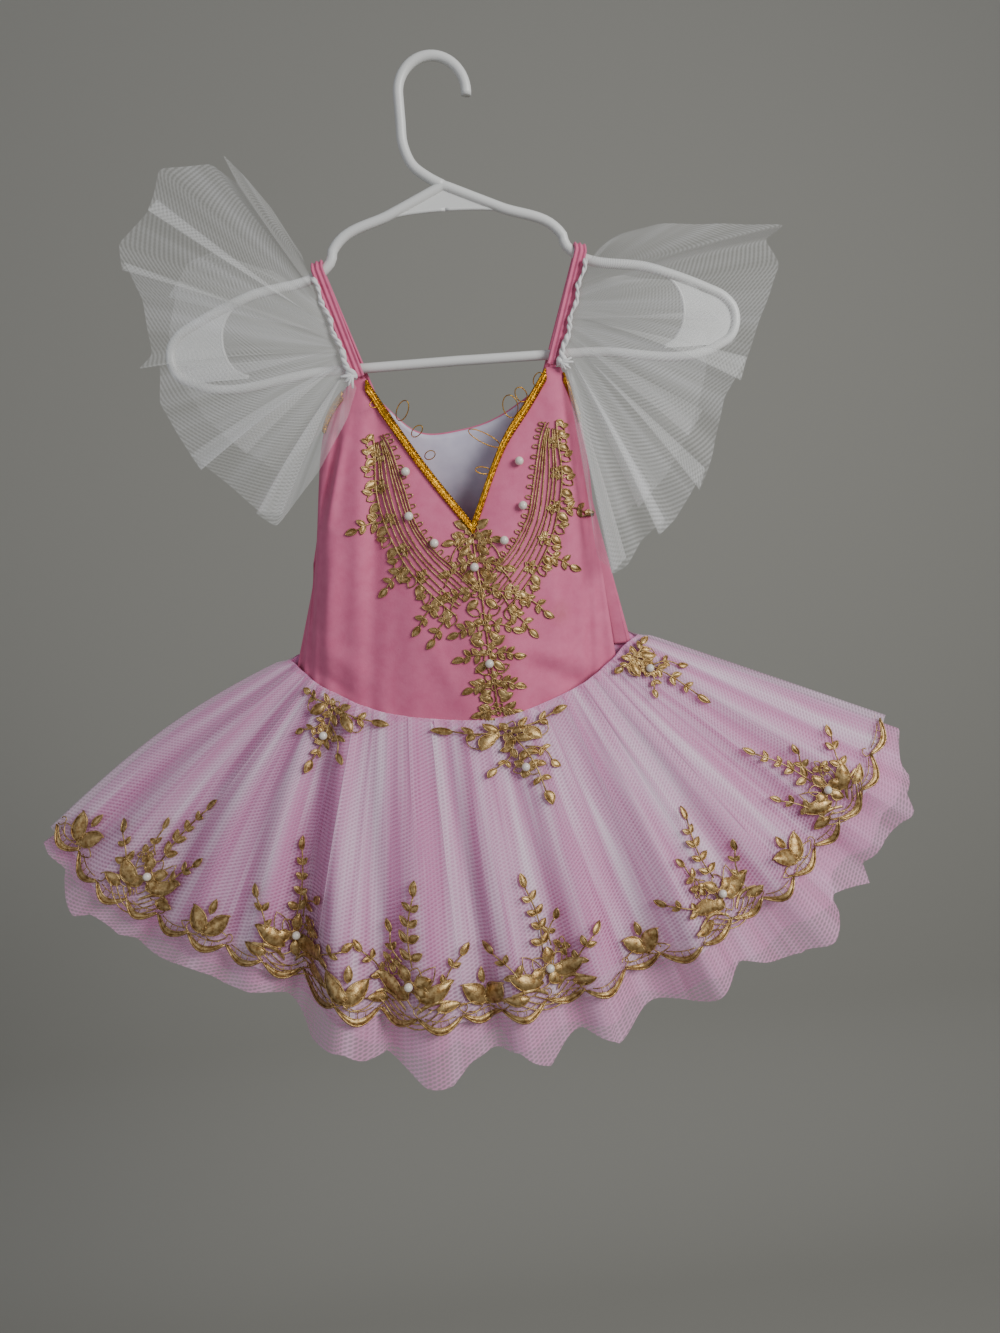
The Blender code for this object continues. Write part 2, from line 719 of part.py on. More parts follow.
def lace(name, shapes, gaps, lines, place, collection, turned=1):
    """A lace wall cut from flat outlines and laid on a surface by place(along, up).

    turned is -1 on the back, where the way out is the other way.
    """
    corners, triangles = joined_outlines(shapes, gaps, lines)
    used = sorted({corner for triangle in triangles for corner in triangle})
    number = {corner: i for i, corner in enumerate(used)}
    points = [place(*corners[corner]) * MM for corner in used]
    mesh = bpy.data.meshes.new(name)
    mesh.from_pydata(points, [], [[number[c] for c in triangle][::turned] for triangle in triangles])
    thicken(add_object(name, mesh, "gold lace", collection), LACE_WALL, outward=True)


def hem_layout(length, sprays, links):
    """Outlines and gaps of the hem lace along one side of the skirt."""
    pitch = (length - 2 * HEM_END) / SCALLOPS
    foot, gaps = [], []
    for k in range(SCALLOPS):
        low = HEM_END + k * pitch
        foot += [(low, NOTCH_UP), (low + 0.22 * pitch, 0)]
        foot += [(low + 0.5 * pitch, -SCALLOP_DEPTH), (low + 0.78 * pitch, 0)]
        if k % 2:
            gaps.append(diamond(low + 0.5 * pitch, 6, 0, *EYELET))
    end = length - HEM_END
    shapes = [foot + [(end, NOTCH_UP), (end, BAND), (HEM_END, BAND)]]
    for share in sprays:
        shapes += [
            (diamond if i else leaf)(share * length + s.along, *s[1:]) for i, s in enumerate(SPRAY)
        ]
        gaps += [diamond(share * length + s.along, *s[1:]) for s in SPRAY_GAPS]
    for share in links:
        shapes += [diamond(share * length + s.along, *s[1:]) for s in LINK]
    return shapes, gaps


def build_hem_lace(collection):
    """The scalloped lace on the top layer's hem, front and back."""
    for front, name, layout in (
        (True, "hem_lace_front", (FRONT_SPRAYS, FRONT_LINKS)),
        (False, "hem_lace_back", (BACK_SPRAYS, BACK_LINKS)),
    ):
        count = (FRONT_WAVES if front else BACK_WAVES) * STEPS_PER_WAVE
        grid = [
            [skirt_point(front, i / count, r / RIB_ROWS) for r in range(RIB_ROWS + 1)]
            for i in range(count + 1)
        ]
        length = sum((grid[i + 1][-1] - grid[i][-1]).length for i in range(count))
        step = length / count
        turned = 1 if front else -1

        def place(along, up, grid=grid, step=step, turned=turned, count=count):
            """The point of the skirt's own facets at this place, moved out."""
            u = min(max(along / step, 0), count)
            v = (1 - max(up, 0) / RIB_LENGTH) * RIB_ROWS
            i, r = min(int(u), count - 1), min(int(v), RIB_ROWS - 1)
            s, t = u - i, v - r
            a, b, c, d = grid[i][r], grid[i + 1][r], grid[i][r + 1], grid[i + 1][r + 1]
            point = (a * (1 - s) + b * s) * (1 - t) + (c * (1 - s) + d * s) * t
            far = min(up, 0) / RIB_LENGTH * RIB_ROWS
            point = point - (c.lerp(d, s) - a.lerp(b, s)) * far
            out = turned * (b - a + d - c).cross(a + b - c - d).normalized()
            return point + out * LACE_LIFT

        shapes, gaps = hem_layout(length, *layout)
        lines = [((i * step, -LACE_REACH), (i * step, LACE_REACH)) for i in range(count + 1)]
        row = RIB_LENGTH / RIB_ROWS
        lines += [((-LACE_REACH, row), (length + LACE_REACH, row))]
        lace(name, shapes, gaps, lines, place, collection, turned)


def build_waist_lace(collection):
    """The three appliques that hang from the waist seam."""
    for item in WAIST_LACES:

        def place(along, up, item=item):
            """A point of the skirt's front below the seam, moved out."""
            down = (WAIST_LACE_UP - up) / RIB_LENGTH
            spread = WAIST_SPREAD + (HEM_SPREAD - WAIST_SPREAD) * down

            def surface(around, share):
                return skirt_point(True, min(around, 1), -share)

            return lifted(surface, item.around + along / spread, -down, item.lift)

        shapes = [
            leaf(0, -8, 0, item.top, 16),
            leaf(item.lean / 2, -item.drop / 2, -90 + item.lean, item.drop, 16),
            diamond(item.lean - 9, -item.drop * 0.72, 200, 20, 9),
            diamond(item.lean + 7, -item.drop * 0.62, 20, 20, 9),
            diamond(-0.36 * item.top, -15, 240, 20, 9),
        ]
        gaps = [leaf(item.lean / 2, -item.drop * 0.55, -90 + item.lean, 15, 5)]
        lines = [((x, -80), (x, 10)) for x in range(-35, 36, 7)]
        lines += [((-45, -30), (45, -30))]
        lace(item.name, shapes, gaps, lines, place, collection)


def band_outline(points):
    """One outline round a line of points, as wide at each as the table says."""
    left, right = [], []
    for i, p in enumerate(points):
        before, after = points[max(i - 1, 0)], points[min(i + 1, len(points) - 1)]
        along = Vector((after.x - before.x, after.z - before.z)).normalized()
        side = Vector((-along.y, along.x)) * p.width / 2
        left.append((p.x + side.x, p.z + side.y))
        right.append((p.x - side.x, p.z - side.y))
    return left + right[::-1]


def build_bodice_lace(collection):
    """The applique on the front: two lobes beside the neck and a column down to the waist."""
    places = panel_places(FRONT_EDGE)
    ups = [i / PANEL_ROWS for i in range(PANEL_ROWS + 1)]
    rows = [[front_point(a, up) for a in places] for up in ups]
    count = len(places)
    points = [p for row in rows for p in row]
    quads = [
        (r * count + c, r * count + c + 1, (r + 1) * count + c + 1, (r + 1) * count + c)
        for r in range(PANEL_ROWS)
        for c in range(count - 1)
    ]
    panel = BVHTree.FromPolygons(points, quads)

    def place(x, z):
        """The front panel straight behind a place in its elevation, moved out."""
        hit, normal, _, _ = panel.ray_cast(Vector((x, -200, z)), Vector((0, 1, 0)))
        return hit + normal * (BODICE_LACE_LIFT if normal.y < 0 else -BODICE_LACE_LIFT)

    mirrored = [Lobe(2 * LACE_AXIS_X - p.x, p.z, p.width) for p in LOBE]
    shapes = [band_outline(line) for line in (LOBE, mirrored, COLUMN)]
    for sign, lobe in ((-1, LOBE), (1, mirrored)):
        for p in lobe[1:-1]:
            x = p.x + sign * p.width * 0.5
            shapes.append(diamond(x, p.z, 205 if sign < 0 else -25, *LOBE_LEAF))
    for p in COLUMN[1:-1]:
        for sign in (-1, 1):
            shapes.append(diamond(p.x + sign * p.width * 0.5, p.z, 90 + sign * 70, *LOBE_LEAF))
    gaps = []
    for x, z in LOBE_GAPS:
        gaps += [diamond(x, z, 70, 14, 6), diamond(2 * LACE_AXIS_X - x, z, 110, 14, 6)]
    for p in COLUMN[1:-1]:
        gaps += [diamond(p.x - 7, p.z, 80, 11, 5.5), diamond(p.x + 7, p.z, 100, 11, 5.5)]
    lines = [((x, -480), (x, -230)) for x in range(-80, 92, 20)]
    lines += [((-90, z), (90, z)) for z in (-450, -410, -370, -330, -290)]
    lace("bodice_lace", shapes, gaps, lines, place, collection)


def main():
    """Build every piece."""
    clear_scene()
    dress = bpy.data.collections.new("ballet dress")
    cutters = bpy.data.collections.new("cutters")
    for collection in (dress, cutters):
        bpy.context.scene.collection.children.link(collection)
    build_hanger(dress, cutters)
    build_bodice(dress)
    build_straps(dress)
    build_braids(dress)
    build_sleeves(dress)
    build_skirt(dress)
    build_hem_lace(dress)
    build_waist_lace(dress)
    build_bodice_lace(dress)


main()
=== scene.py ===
"""The looks of a child's ballet dress on a tubular hanger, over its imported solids.

Tables and sizes are in millimetres and become metres when a mesh is made. +X is the photo's
right, the front faces -Y, +Z is up, and the origin is the inside of the hook's top. The forms of
the skirt, panels, straps and sleeves are the ones that the part's source works out.
"""

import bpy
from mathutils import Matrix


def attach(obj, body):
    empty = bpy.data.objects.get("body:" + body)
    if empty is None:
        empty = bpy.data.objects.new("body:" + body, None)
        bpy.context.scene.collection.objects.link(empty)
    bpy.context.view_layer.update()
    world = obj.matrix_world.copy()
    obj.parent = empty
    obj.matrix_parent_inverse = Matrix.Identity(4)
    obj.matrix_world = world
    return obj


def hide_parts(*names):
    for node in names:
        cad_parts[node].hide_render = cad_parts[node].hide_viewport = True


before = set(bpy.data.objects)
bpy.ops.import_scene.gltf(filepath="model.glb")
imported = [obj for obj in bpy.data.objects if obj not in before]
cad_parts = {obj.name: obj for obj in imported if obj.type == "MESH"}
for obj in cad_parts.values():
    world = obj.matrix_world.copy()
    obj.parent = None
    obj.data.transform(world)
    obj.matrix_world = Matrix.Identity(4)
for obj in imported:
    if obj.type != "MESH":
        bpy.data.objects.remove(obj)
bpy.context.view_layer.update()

import logging
import math
import random
from dataclasses import dataclass
from enum import Enum
from typing import Callable, Iterable, NamedTuple, Sequence

import bpy
import numpy as np
from mathutils import Matrix, Vector
from mathutils.bvhtree import BVHTree

MM = 0.001
Points = np.ndarray
Place = Callable[[Points], tuple[Points, Points]]
log = logging.getLogger("ballet dress")


# --- Tables of the dress's form, in millimetres -------------------------------------------------


class Rib(NamedTuple):
    """Where one rib of the skirt leaves the waist seam and meets the top layer's hem."""

    around: float
    waist_x: float
    waist_y: float
    waist_z: float
    hem_x: float
    hem_y: float
    hem_z: float
    back_waist_z: float
    back_hem_z: float
    extra: float


RIBS = (
    Rib(0.00, -151, 0, -420, -352, 0, -540, -420, -540, 12),
    Rib(0.10, -138, -15, -432, -302, -30, -590, -420, -592, 24),
    Rib(0.25, -117, -28, -446, -197, -76, -631, -419, -628, 24),
    Rib(0.40, -70, -40, -466, -86, -105, -675, -418, -648, 34),
    Rib(0.54, 2, -43, -475, 27, -104, -677, -418, -651, 36),
    Rib(0.69, 62, -33, -462, 145, -78, -653, -419, -640, 44),
    Rib(0.84, 98, -18, -444, 249, -42, -605, -421, -600, 48),
    Rib(0.93, 113, -10, -432, 297, -22, -557, -422, -556, 36),
    Rib(1.00, 126, 0, -423, 322, 0, -508, -423, -508, 16),
)
BACK_DEPTH_WAIST, BACK_DEPTH_HEM = 9.0, 13.0
BOW_LEFT, BOW_FRONT = 12.0, 8.0
FRONT_WAVES, BACK_WAVES = 14, 12
WAVE_AT_WAIST, WAVE_AT_HEM, BACK_WAVE_AT_HEM = 0.9, 2.6, 3.0
TIP_SHARE = 0.06
RIB_LENGTH = 225.0
WAIST_SPREAD, HEM_SPREAD = 322.0, 812.0


class Fold(NamedTuple):
    """A fold across a surface: its place and half width as shares, and its way forward."""

    at: float
    half_width: float
    forward: float


class SkirtFold(NamedTuple):
    """A fold of the skirt: its shares at the waist and at the hem, its half width and way forward."""

    waist: float
    hem: float
    half_width: float
    forward: float


SKIRT_FOLDS = (
    SkirtFold(0.06, 0.09, 0.030, 7),
    SkirtFold(0.11, 0.155, 0.016, -6),
    SkirtFold(0.15, 0.200, 0.018, 6),
    SkirtFold(0.20, 0.240, 0.014, -4),
    SkirtFold(0.23, 0.268, 0.014, 5),
    SkirtFold(0.27, 0.312, 0.021, -23),
    SkirtFold(0.31, 0.352, 0.023, 19),
    SkirtFold(0.36, 0.392, 0.012, -7),
    SkirtFold(0.41, 0.438, 0.026, 8),
    SkirtFold(0.47, 0.488, 0.010, -8),
    SkirtFold(0.50, 0.515, 0.016, 6),
    SkirtFold(0.56, 0.560, 0.014, -5),
    SkirtFold(0.61, 0.590, 0.015, 4),
    SkirtFold(0.67, 0.632, 0.026, -13),
    SkirtFold(0.72, 0.690, 0.018, 12),
    SkirtFold(0.77, 0.745, 0.012, -5),
    SkirtFold(0.80, 0.790, 0.026, 5),
    SkirtFold(0.86, 0.858, 0.020, -7),
    SkirtFold(0.92, 0.925, 0.022, 5),
)
FRONT_FOLDS = (
    Fold(0.10, 0.040, -5),
    Fold(0.24, 0.050, 4),
    Fold(0.36, 0.040, -3),
    Fold(0.74, 0.050, 3),
    Fold(0.85, 0.045, -3),
)


class Edge(NamedTuple):
    """A point of a panel's upper edge, by its share across the panel."""

    across: float
    x: float
    y: float
    z: float


FRONT_EDGE = (
    Edge(0.00, -113, -2.0, -327),
    Edge(0.07, -111, -3.5, -300),
    Edge(0.13, -110, -5, -278),
    Edge(0.19, -103, -6, -250),
    Edge(0.25, -91, -7.5, -229),
    Edge(0.28, -79, -9, -217.6),
    Edge(0.31, -69, -10, -217.0),
    Edge(0.36, -57, -14, -238),
    Edge(0.45, -30, -21, -283),
    Edge(0.54, 0.6, -27, -328),
    Edge(0.62, 30, -18, -266),
    Edge(0.67, 49, -14, -241),
    Edge(0.73, 65, -10, -218.4),
    Edge(0.76, 76, -9, -219.0),
    Edge(0.82, 86, -7, -246),
    Edge(0.90, 92.5, -5, -283),
    Edge(1.00, 95, -4, -332),
)
FRONT_CORNERS = (0.28, 0.31, 0.54, 0.73, 0.76)
FRONT_SEAMS = (0.012, 0.54, 0.885)
FRONT_BULGE = 9.0
SEAM_ALLOWANCE = 12.0
WAIST_INSET = 4.6
WAIST_GAP_RIGHT = 7.0
BACK_EDGE = (
    Edge(0.00, -112.5, 0.6, -327),
    Edge(0.10, -109, 3, -300),
    Edge(0.20, -103, 6, -262),
    Edge(0.30, -88, 7.5, -240),
    Edge(0.36, -72, 8, -231.8),
    Edge(0.40, -62, 8, -231.2),
    Edge(0.48, -34, 8, -257),
    Edge(0.55, -4, 8, -258),
    Edge(0.62, 30, 8, -249),
    Edge(0.67, 60, 8, -231.2),
    Edge(0.71, 70, 8, -231.8),
    Edge(0.79, 84, 7, -247),
    Edge(0.90, 91, 4, -290),
    Edge(1.00, 94, -0.8, -332),
)
BACK_CORNERS = (0.36, 0.40, 0.67, 0.71)
BACK_WAIST = ((0.00, -145.5, 2.0), (0.06, -141, 4.6), (0.86, 108, 4.6), (0.94, 119.5, 0.8), (1.00, 104.5, 1.0))
BACK_WAIST_Z = -432.0
LINING_ACROSS = (0.42, 0.65)
LINING_DEPTH = 92.0


class Side(Enum):
    """The two sides of the dress as the photo shows them; the value is the sign of X."""

    LEFT = -1
    RIGHT = 1

    @property
    def word(self) -> str:
        """The side's name in lower case."""
        return self.name.lower()


class Rim(NamedTuple):
    """A point of a sleeve's cut edge: its share of the gathers, and its place, folds and all."""

    share: float
    x: float
    y: float
    z: float


RIMS = {
    Side.LEFT: (
        Rim(0.00, -106, -13, -128),
        Rim(0.05, -123, -20, -97),
        Rim(0.11, -138, -24, -77),
        Rim(0.17, -152, -27, -61),
        Rim(0.22, -142, -34, -84),
        Rim(0.27, -160, -28, -68),
        Rim(0.38, -195, -30, -70),
        Rim(0.47, -206, -36, -99),
        Rim(0.52, -199, -25, -87),
        Rim(0.57, -214, -28, -102),
        Rim(0.61, -230, -31, -116),
        Rim(0.65, -228, -35, -137),
        Rim(0.67, -229, -24, -126),
        Rim(0.70, -219, -27, -154),
        Rim(0.74, -217, -30, -192),
        Rim(0.76, -226, -35, -203),
        Rim(0.77, -214, -23, -197),
        Rim(0.80, -216, -29, -226),
        Rim(0.83, -196, -33, -267),
        Rim(0.845, -189, -39, -277),
        Rim(0.86, -201, -26, -262),
        Rim(0.88, -170, -28, -291),
        Rim(0.90, -149, -26, -314),
        Rim(0.92, -136, -28, -311),
        Rim(0.94, -156, -39, -308),
        Rim(0.955, -141, -41, -320),
        Rim(0.97, -107, -34, -282),
        Rim(0.985, -83, -24, -245),
        Rim(1.00, -76, -16, -224),
    ),
    Side.RIGHT: (
        Rim(0.00, 106, -12, -146),
        Rim(0.06, 122, -18, -131),
        Rim(0.14, 152, -24, -127),
        Rim(0.22, 205, -28, -131),
        Rim(0.27, 240, -34, -136),
        Rim(0.31, 228, -23, -143),
        Rim(0.36, 238, -28, -161),
        Rim(0.44, 221, -30, -198),
        Rim(0.54, 203, -36, -243),
        Rim(0.58, 213, -23, -222),
        Rim(0.64, 193, -28, -252),
        Rim(0.70, 183, -30, -290),
        Rim(0.76, 170, -34, -319),
        Rim(0.79, 179, -22, -300),
        Rim(0.83, 152, -28, -338),
        Rim(0.86, 137, -35, -349),
        Rim(0.88, 147, -23, -336),
        Rim(0.91, 127, -26, -351),
        Rim(0.93, 113, -33, -369),
        Rim(0.945, 100, -35, -375),
        Rim(0.96, 116, -22, -362),
        Rim(0.975, 104, -30, -373),
        Rim(0.985, 93, -22, -362),
        Rim(1.00, 88, -14, -238),
    ),
}
OVER_RIMS = {
    Side.LEFT: (
        Rim(0.26, -128, -15, -138),
        Rim(0.38, -168, -20, -124),
        Rim(0.48, -186, -17, -129),
        Rim(0.56, -205, -16, -152),
        Rim(0.60, -193, -24, -141),
        Rim(0.66, -207, -16, -178),
        Rim(0.72, -196, -15, -216),
        Rim(0.76, -205, -24, -200),
        Rim(0.80, -188, -16, -238),
        Rim(0.85, -160, -17, -266),
        Rim(0.88, -176, -25, -250),
        Rim(0.92, -140, -19, -280),
        Rim(0.96, -112, -22, -262),
        Rim(1.00, -84, -15, -228),
    ),
    Side.RIGHT: (
        Rim(0.26, 126, -14, -158),
        Rim(0.42, 176, -17, -168),
        Rim(0.52, 197, -16, -196),
        Rim(0.58, 184, -24, -188),
        Rim(0.65, 183, -17, -232),
        Rim(0.72, 168, -17, -278),
        Rim(0.76, 178, -24, -258),
        Rim(0.82, 150, -17, -304),
        Rim(0.88, 126, -17, -328),
        Rim(0.91, 137, -23, -312),
        Rim(0.96, 108, -18, -338),
        Rim(1.00, 90, -14, -250),
    ),
}
GATHER_FROM, GATHER_TO = 0.10, 0.97
TUBE_RADIUS = 3.7
STRAP_WALL, STRAP_WIDTH = 2.4, 9.0
STRAP_CREST = (97.0, -137.1)
STRAP_SLANT = 0.26
STRAP_FRONT_END = {Side.LEFT: (-74.0, -9.6, -215.7), Side.RIGHT: (70.5, -9.6, -217.0)}
STRAP_BACK_END = {Side.LEFT: (-67.0, 7.2, -230.2), Side.RIGHT: (65.0, 7.2, -230.2)}
FRONT_SPRAYS = (0.125, 0.295, 0.418, 0.545, 0.733, 0.90)
FRONT_LINKS = (0.035, 0.208, 0.356, 0.483, 0.64, 0.82)
BACK_SPRAYS = (0.10, 0.30, 0.50, 0.70, 0.90)
BACK_LINKS = (0.20, 0.40, 0.60, 0.80)
SCALLOPS = 26


# --- Curves and surfaces ------------------------------------------------------------------------


class Curve:
    """A table read at any place along its first column, on cubics that turn only at its corners."""

    def __init__(self, table: Sequence[Sequence[float]], corners: Iterable[float] = ()) -> None:
        rows = np.array([list(row) for row in table], float)
        self.at, self.values = rows[:, 0], rows[:, 1:]
        slopes = np.gradient(self.values, self.at, axis=0)
        chords = np.diff(self.values, axis=0) / np.diff(self.at)[:, None]
        self.starts, self.ends = slopes[:-1].copy(), slopes[1:].copy()
        for corner in corners:
            i = int(np.argmin(abs(self.at - corner)))
            self.ends[i - 1], self.starts[i] = chords[i - 1], chords[i]

    def __call__(self, at: Points) -> Points:
        """The other columns at these places.

        Args:
            at: places, in an array of any shape.
        Returns:
            An array with one more axis, for the columns.
        """
        at = np.asarray(at, float)
        i = np.clip(np.searchsorted(self.at, at, side="right") - 1, 0, len(self.at) - 2)
        step = (self.at[i + 1] - self.at[i])[..., None]
        t = (at[..., None] - self.at[i][..., None]) / step
        ends = (1 + 2 * t) * (1 - t) ** 2 * self.values[i] + t * t * (3 - 2 * t) * self.values[i + 1]
        return ends + step * (t * (1 - t) ** 2 * self.starts[i] + t * t * (t - 1) * self.ends[i])


RIB_CURVE = Curve(RIBS)
FRONT_CURVE = Curve(FRONT_EDGE, FRONT_CORNERS)
BACK_CURVE = Curve(BACK_EDGE, BACK_CORNERS)


def stack(x: Points, y: Points, z: Points) -> Points:
    """Three arrays as one array of points."""
    return np.stack(np.broadcast_arrays(x, y, z), axis=-1)


def bump(at: Points, centre: float, half_width: float) -> Points:
    """A bell from 0 to 1 round a centre."""
    return np.exp(-(((at - centre) / half_width) ** 2))


def tip_fade(around: Points) -> Points:
    """0 at the skirt's two side folds and 1 away from them."""
    near = np.sin(np.pi * np.clip(around, 0, 1)) / math.sin(math.pi * TIP_SHARE)
    return np.clip(near, 0, 1)


def wave(around: Points, count: int) -> Points:
    """The skirt's broad uneven waves, count of them from side to side, between -1 and 1."""
    turn = 2 * np.pi * around
    warp = around + 0.010 * np.sin(2.6 * turn) + 0.006 * np.sin(5.3 * turn)
    return (0.78 + 0.22 * np.sin(3.7 * turn + 1)) * np.sin(2 * np.pi * count * warp)


def skirt(front: bool, around: Points, down: Points, inset: Points | float = 0.0) -> Points:
    """Points of the skirt's top layer or, with an inset, of a layer inside it.

    Args:
        front: the front half or the back half.
        around: 0 at the left side fold to 1 at the right one.
        down: 0 at the waist seam, 1 at the top layer's hem, and more below it.
        inset: how far inside the top layer, in millimetres.
    Returns:
        An array of points in millimetres.
    """
    around, down, inset = np.broadcast_arrays(*map(lambda v: np.asarray(v, float), (around, down, inset)))
    waist_x, waist_y, waist_z, hem_x, hem_y, hem_z, back_waist, back_hem, _ = np.moveaxis(
        RIB_CURVE(around), -1, 0
    )
    fade = tip_fade(around)
    bell = np.sin(np.pi * np.minimum(down, 1))
    x = waist_x + (hem_x - waist_x) * down
    if front:
        lift = (WAVE_AT_WAIST + (WAVE_AT_HEM - WAVE_AT_WAIST) * down) * wave(around, FRONT_WAVES)
        for fold in SKIRT_FOLDS:
            middle = fold.waist + (fold.hem - fold.waist) * np.minimum(down, 1)
            lift = lift + down * fold.forward * bump(around, middle, fold.half_width)
        y = waist_y + (hem_y - waist_y) * down - BOW_FRONT * np.sin(np.pi * around) * bell
        y = y + fade * (inset - lift)
        z = waist_z + (hem_z - waist_z) * down
    else:
        y = (BACK_DEPTH_WAIST + (BACK_DEPTH_HEM - BACK_DEPTH_WAIST) * down) * np.sqrt(fade)
        reach = 0.5 * WAVE_AT_WAIST + (BACK_WAVE_AT_HEM - 0.5 * WAVE_AT_WAIST) * down
        y = y + fade * (reach * wave(around, BACK_WAVES) - inset)
        z = back_waist + (back_hem - back_waist) * down
    z = z + BOW_LEFT * (1 - around) ** 3 * bell
    points = stack(x, y, z)
    for near, rib in ((around < 0.5, RIBS[0]), (around >= 0.5, RIBS[-1])):
        along = np.array([rib.hem_x - rib.waist_x, 0, rib.hem_z - rib.waist_z], float)
        out = np.array([along[2], 0, -along[0]]) / np.linalg.norm(along)
        out = out if out[2] > 0 else -out
        points = points - (near * inset * (1 - fade))[..., None] * out
    return points


class Crease(NamedTuple):
    """A soft trough or ridge seen from the front: its two ends, half width and way back."""

    x0: float
    z0: float
    x1: float
    z1: float
    half_width: float
    back: float


BODICE_CREASES = (
    Crease(-93, -258, -112, -322, 3.0, 5.0),
    Crease(-85, -246, -106, -322, 4.0, -3.2),
    Crease(-103, -262, -117, -318, 3.5, -1.6),
    Crease(-73, -228, -92, -402, 8.0, -2.6),
    Crease(-62, -236, -78, -372, 6.5, 2.4),
    Crease(-100, -330, -118, -404, 9.0, -2.2),
    Crease(-112, -352, -133, -410, 6.0, 1.8),
    Crease(-131, -404, -84, -440, 8.0, -1.6),
    Crease(-140, -420, -98, -452, 5.0, 1.6),
    Crease(70, -228, 84, -388, 8.0, -2.6),
    Crease(81, -246, 95, -402, 6.0, 2.6),
    Crease(58, -300, 74, -436, 8.0, 2.0),
    Crease(24, -424, 98, -446, 8.0, -2.0),
    Crease(40, -440, 106, -474, 8.0, 3.6),
    Crease(-10, -338, -24, -424, 9.0, 1.2),
    Crease(-40, -408, -18, -462, 8.0, -1.4),
)


def creased(points: Points, creases: Iterable[Crease]) -> Points:
    """The points of a front panel with soft creases pushed into them."""
    points = points.copy()
    x, z = points[..., 0].copy(), points[..., 2].copy()
    for crease in creases:
        along = np.array([crease.x1 - crease.x0, crease.z1 - crease.z0])
        length = float(np.hypot(*along))
        share = ((x - crease.x0) * along[0] + (z - crease.z0) * along[1]) / length**2
        held = np.clip(share, 0, 1)
        away = np.hypot(x - crease.x0 - held * along[0], z - crease.z0 - held * along[1])
        taper = 0.35 + 0.65 * np.sin(np.pi * np.clip(held, 0.03, 0.97))
        points[..., 1] += crease.back * taper * np.exp(-((away / crease.half_width) ** 2))
    return points


def front_panel(across: Points, up: Points) -> Points:
    """Points of the front panel: across 0 to 1 from the left, up 0 at the waist to 1 at the top."""
    across, up = np.broadcast_arrays(np.asarray(across, float), np.asarray(up, float))
    around = np.interp(across, (0, 0.54, 1), FRONT_SEAMS)
    low = skirt(True, around, 0 * around)
    low[..., 1] += WAIST_INSET + WAIST_GAP_RIGHT * bump(around, 0.76, 0.12)
    low[..., 1] = np.minimum(low[..., 1], -0.6)
    low[..., 0] += WAIST_INSET * (1 - np.minimum(1, around / 0.1))
    low[..., 2] -= SEAM_ALLOWANCE
    high = FRONT_CURVE(across)
    points = low + (high - low) * up[..., None]
    points[..., 1] -= FRONT_BULGE * np.sin(np.pi * up) * np.sin(np.pi * across)
    shape = 4 * up * (1 - up) * np.minimum(1, 8 * np.minimum(across, 1 - across))
    points[..., 1] -= shape * sum(f.forward * bump(across, f.at, f.half_width) for f in FRONT_FOLDS)
    return creased(points, BODICE_CREASES)


def back_panel(across: Points, up: Points) -> Points:
    """Points of the back panel, in the same terms as the front's."""
    across, up = np.broadcast_arrays(np.asarray(across, float), np.asarray(up, float))
    waist = np.array(BACK_WAIST)
    low = stack(
        np.interp(across, waist[:, 0], waist[:, 1]), np.interp(across, waist[:, 0], waist[:, 2]), BACK_WAIST_Z
    )
    return low + (BACK_CURVE(across) - low) * up[..., None]


def strap_line(side: Side) -> Points:
    """The middle of a strap: up the front, over the hanger's arm and down the back."""
    radius = TUBE_RADIUS + 0.3 + STRAP_WALL / 2 + 0.2
    x, z = side.value * STRAP_CREST[0], STRAP_CREST[1]
    turn = np.radians(np.arange(180, -1, -15))
    over = stack(x, radius * np.cos(turn), z + radius * np.sin(turn))
    rise = np.linspace(0, 0.96, 14)[:, None]
    front = np.array(STRAP_FRONT_END[side]) * (1 - rise) + over[0] * rise
    back = over[-1] * (rise[::-1]) + np.array(STRAP_BACK_END[side]) * (1 - rise[::-1])
    return np.concatenate([front, over, back])


def gather_line(side: Side, share: Points) -> Points:
    """The gathered edge of a sleeve, along the strap's outer edge from its top to its root."""
    path = strap_line(side)
    root, top = path[0], path[13] + (path[14] - path[13])
    place = GATHER_FROM + (GATHER_TO - GATHER_FROM) * np.asarray(share, float)[..., None]
    shift = side.value * (STRAP_WIDTH / 2 / math.cos(STRAP_SLANT) + 1.5)
    return top * (1 - place) + root * place + np.array([shift, 0, 0])


def surface_normals(surface: Callable[[Points, Points], Points], a: Points, b: Points, out: float) -> Points:
    """Unit normals of a surface by small steps, turned so that their Y has the sign of out."""
    step = 0.004
    along = surface(np.clip(a + step, 0, 1), b) - surface(np.clip(a - step, 0, 1), b)
    up = surface(a, b + step) - surface(a, b - step)
    normal = np.cross(along, up)
    normal /= np.maximum(np.linalg.norm(normal, axis=-1, keepdims=True), 1e-9)
    return normal * np.where(normal[..., 1:2] * out < 0, -1.0, 1.0)


# --- Finishes -----------------------------------------------------------------------------------


def linear(code: str) -> tuple[float, float, float, float]:
    """An sRGB hex colour as linear red, green, blue and alpha."""
    parts = [int(code.lstrip("#")[i : i + 2], 16) / 255 for i in (0, 2, 4)]
    return (*[c / 12.92 if c <= 0.04045 else ((c + 0.055) / 1.055) ** 2.4 for c in parts], 1.0)


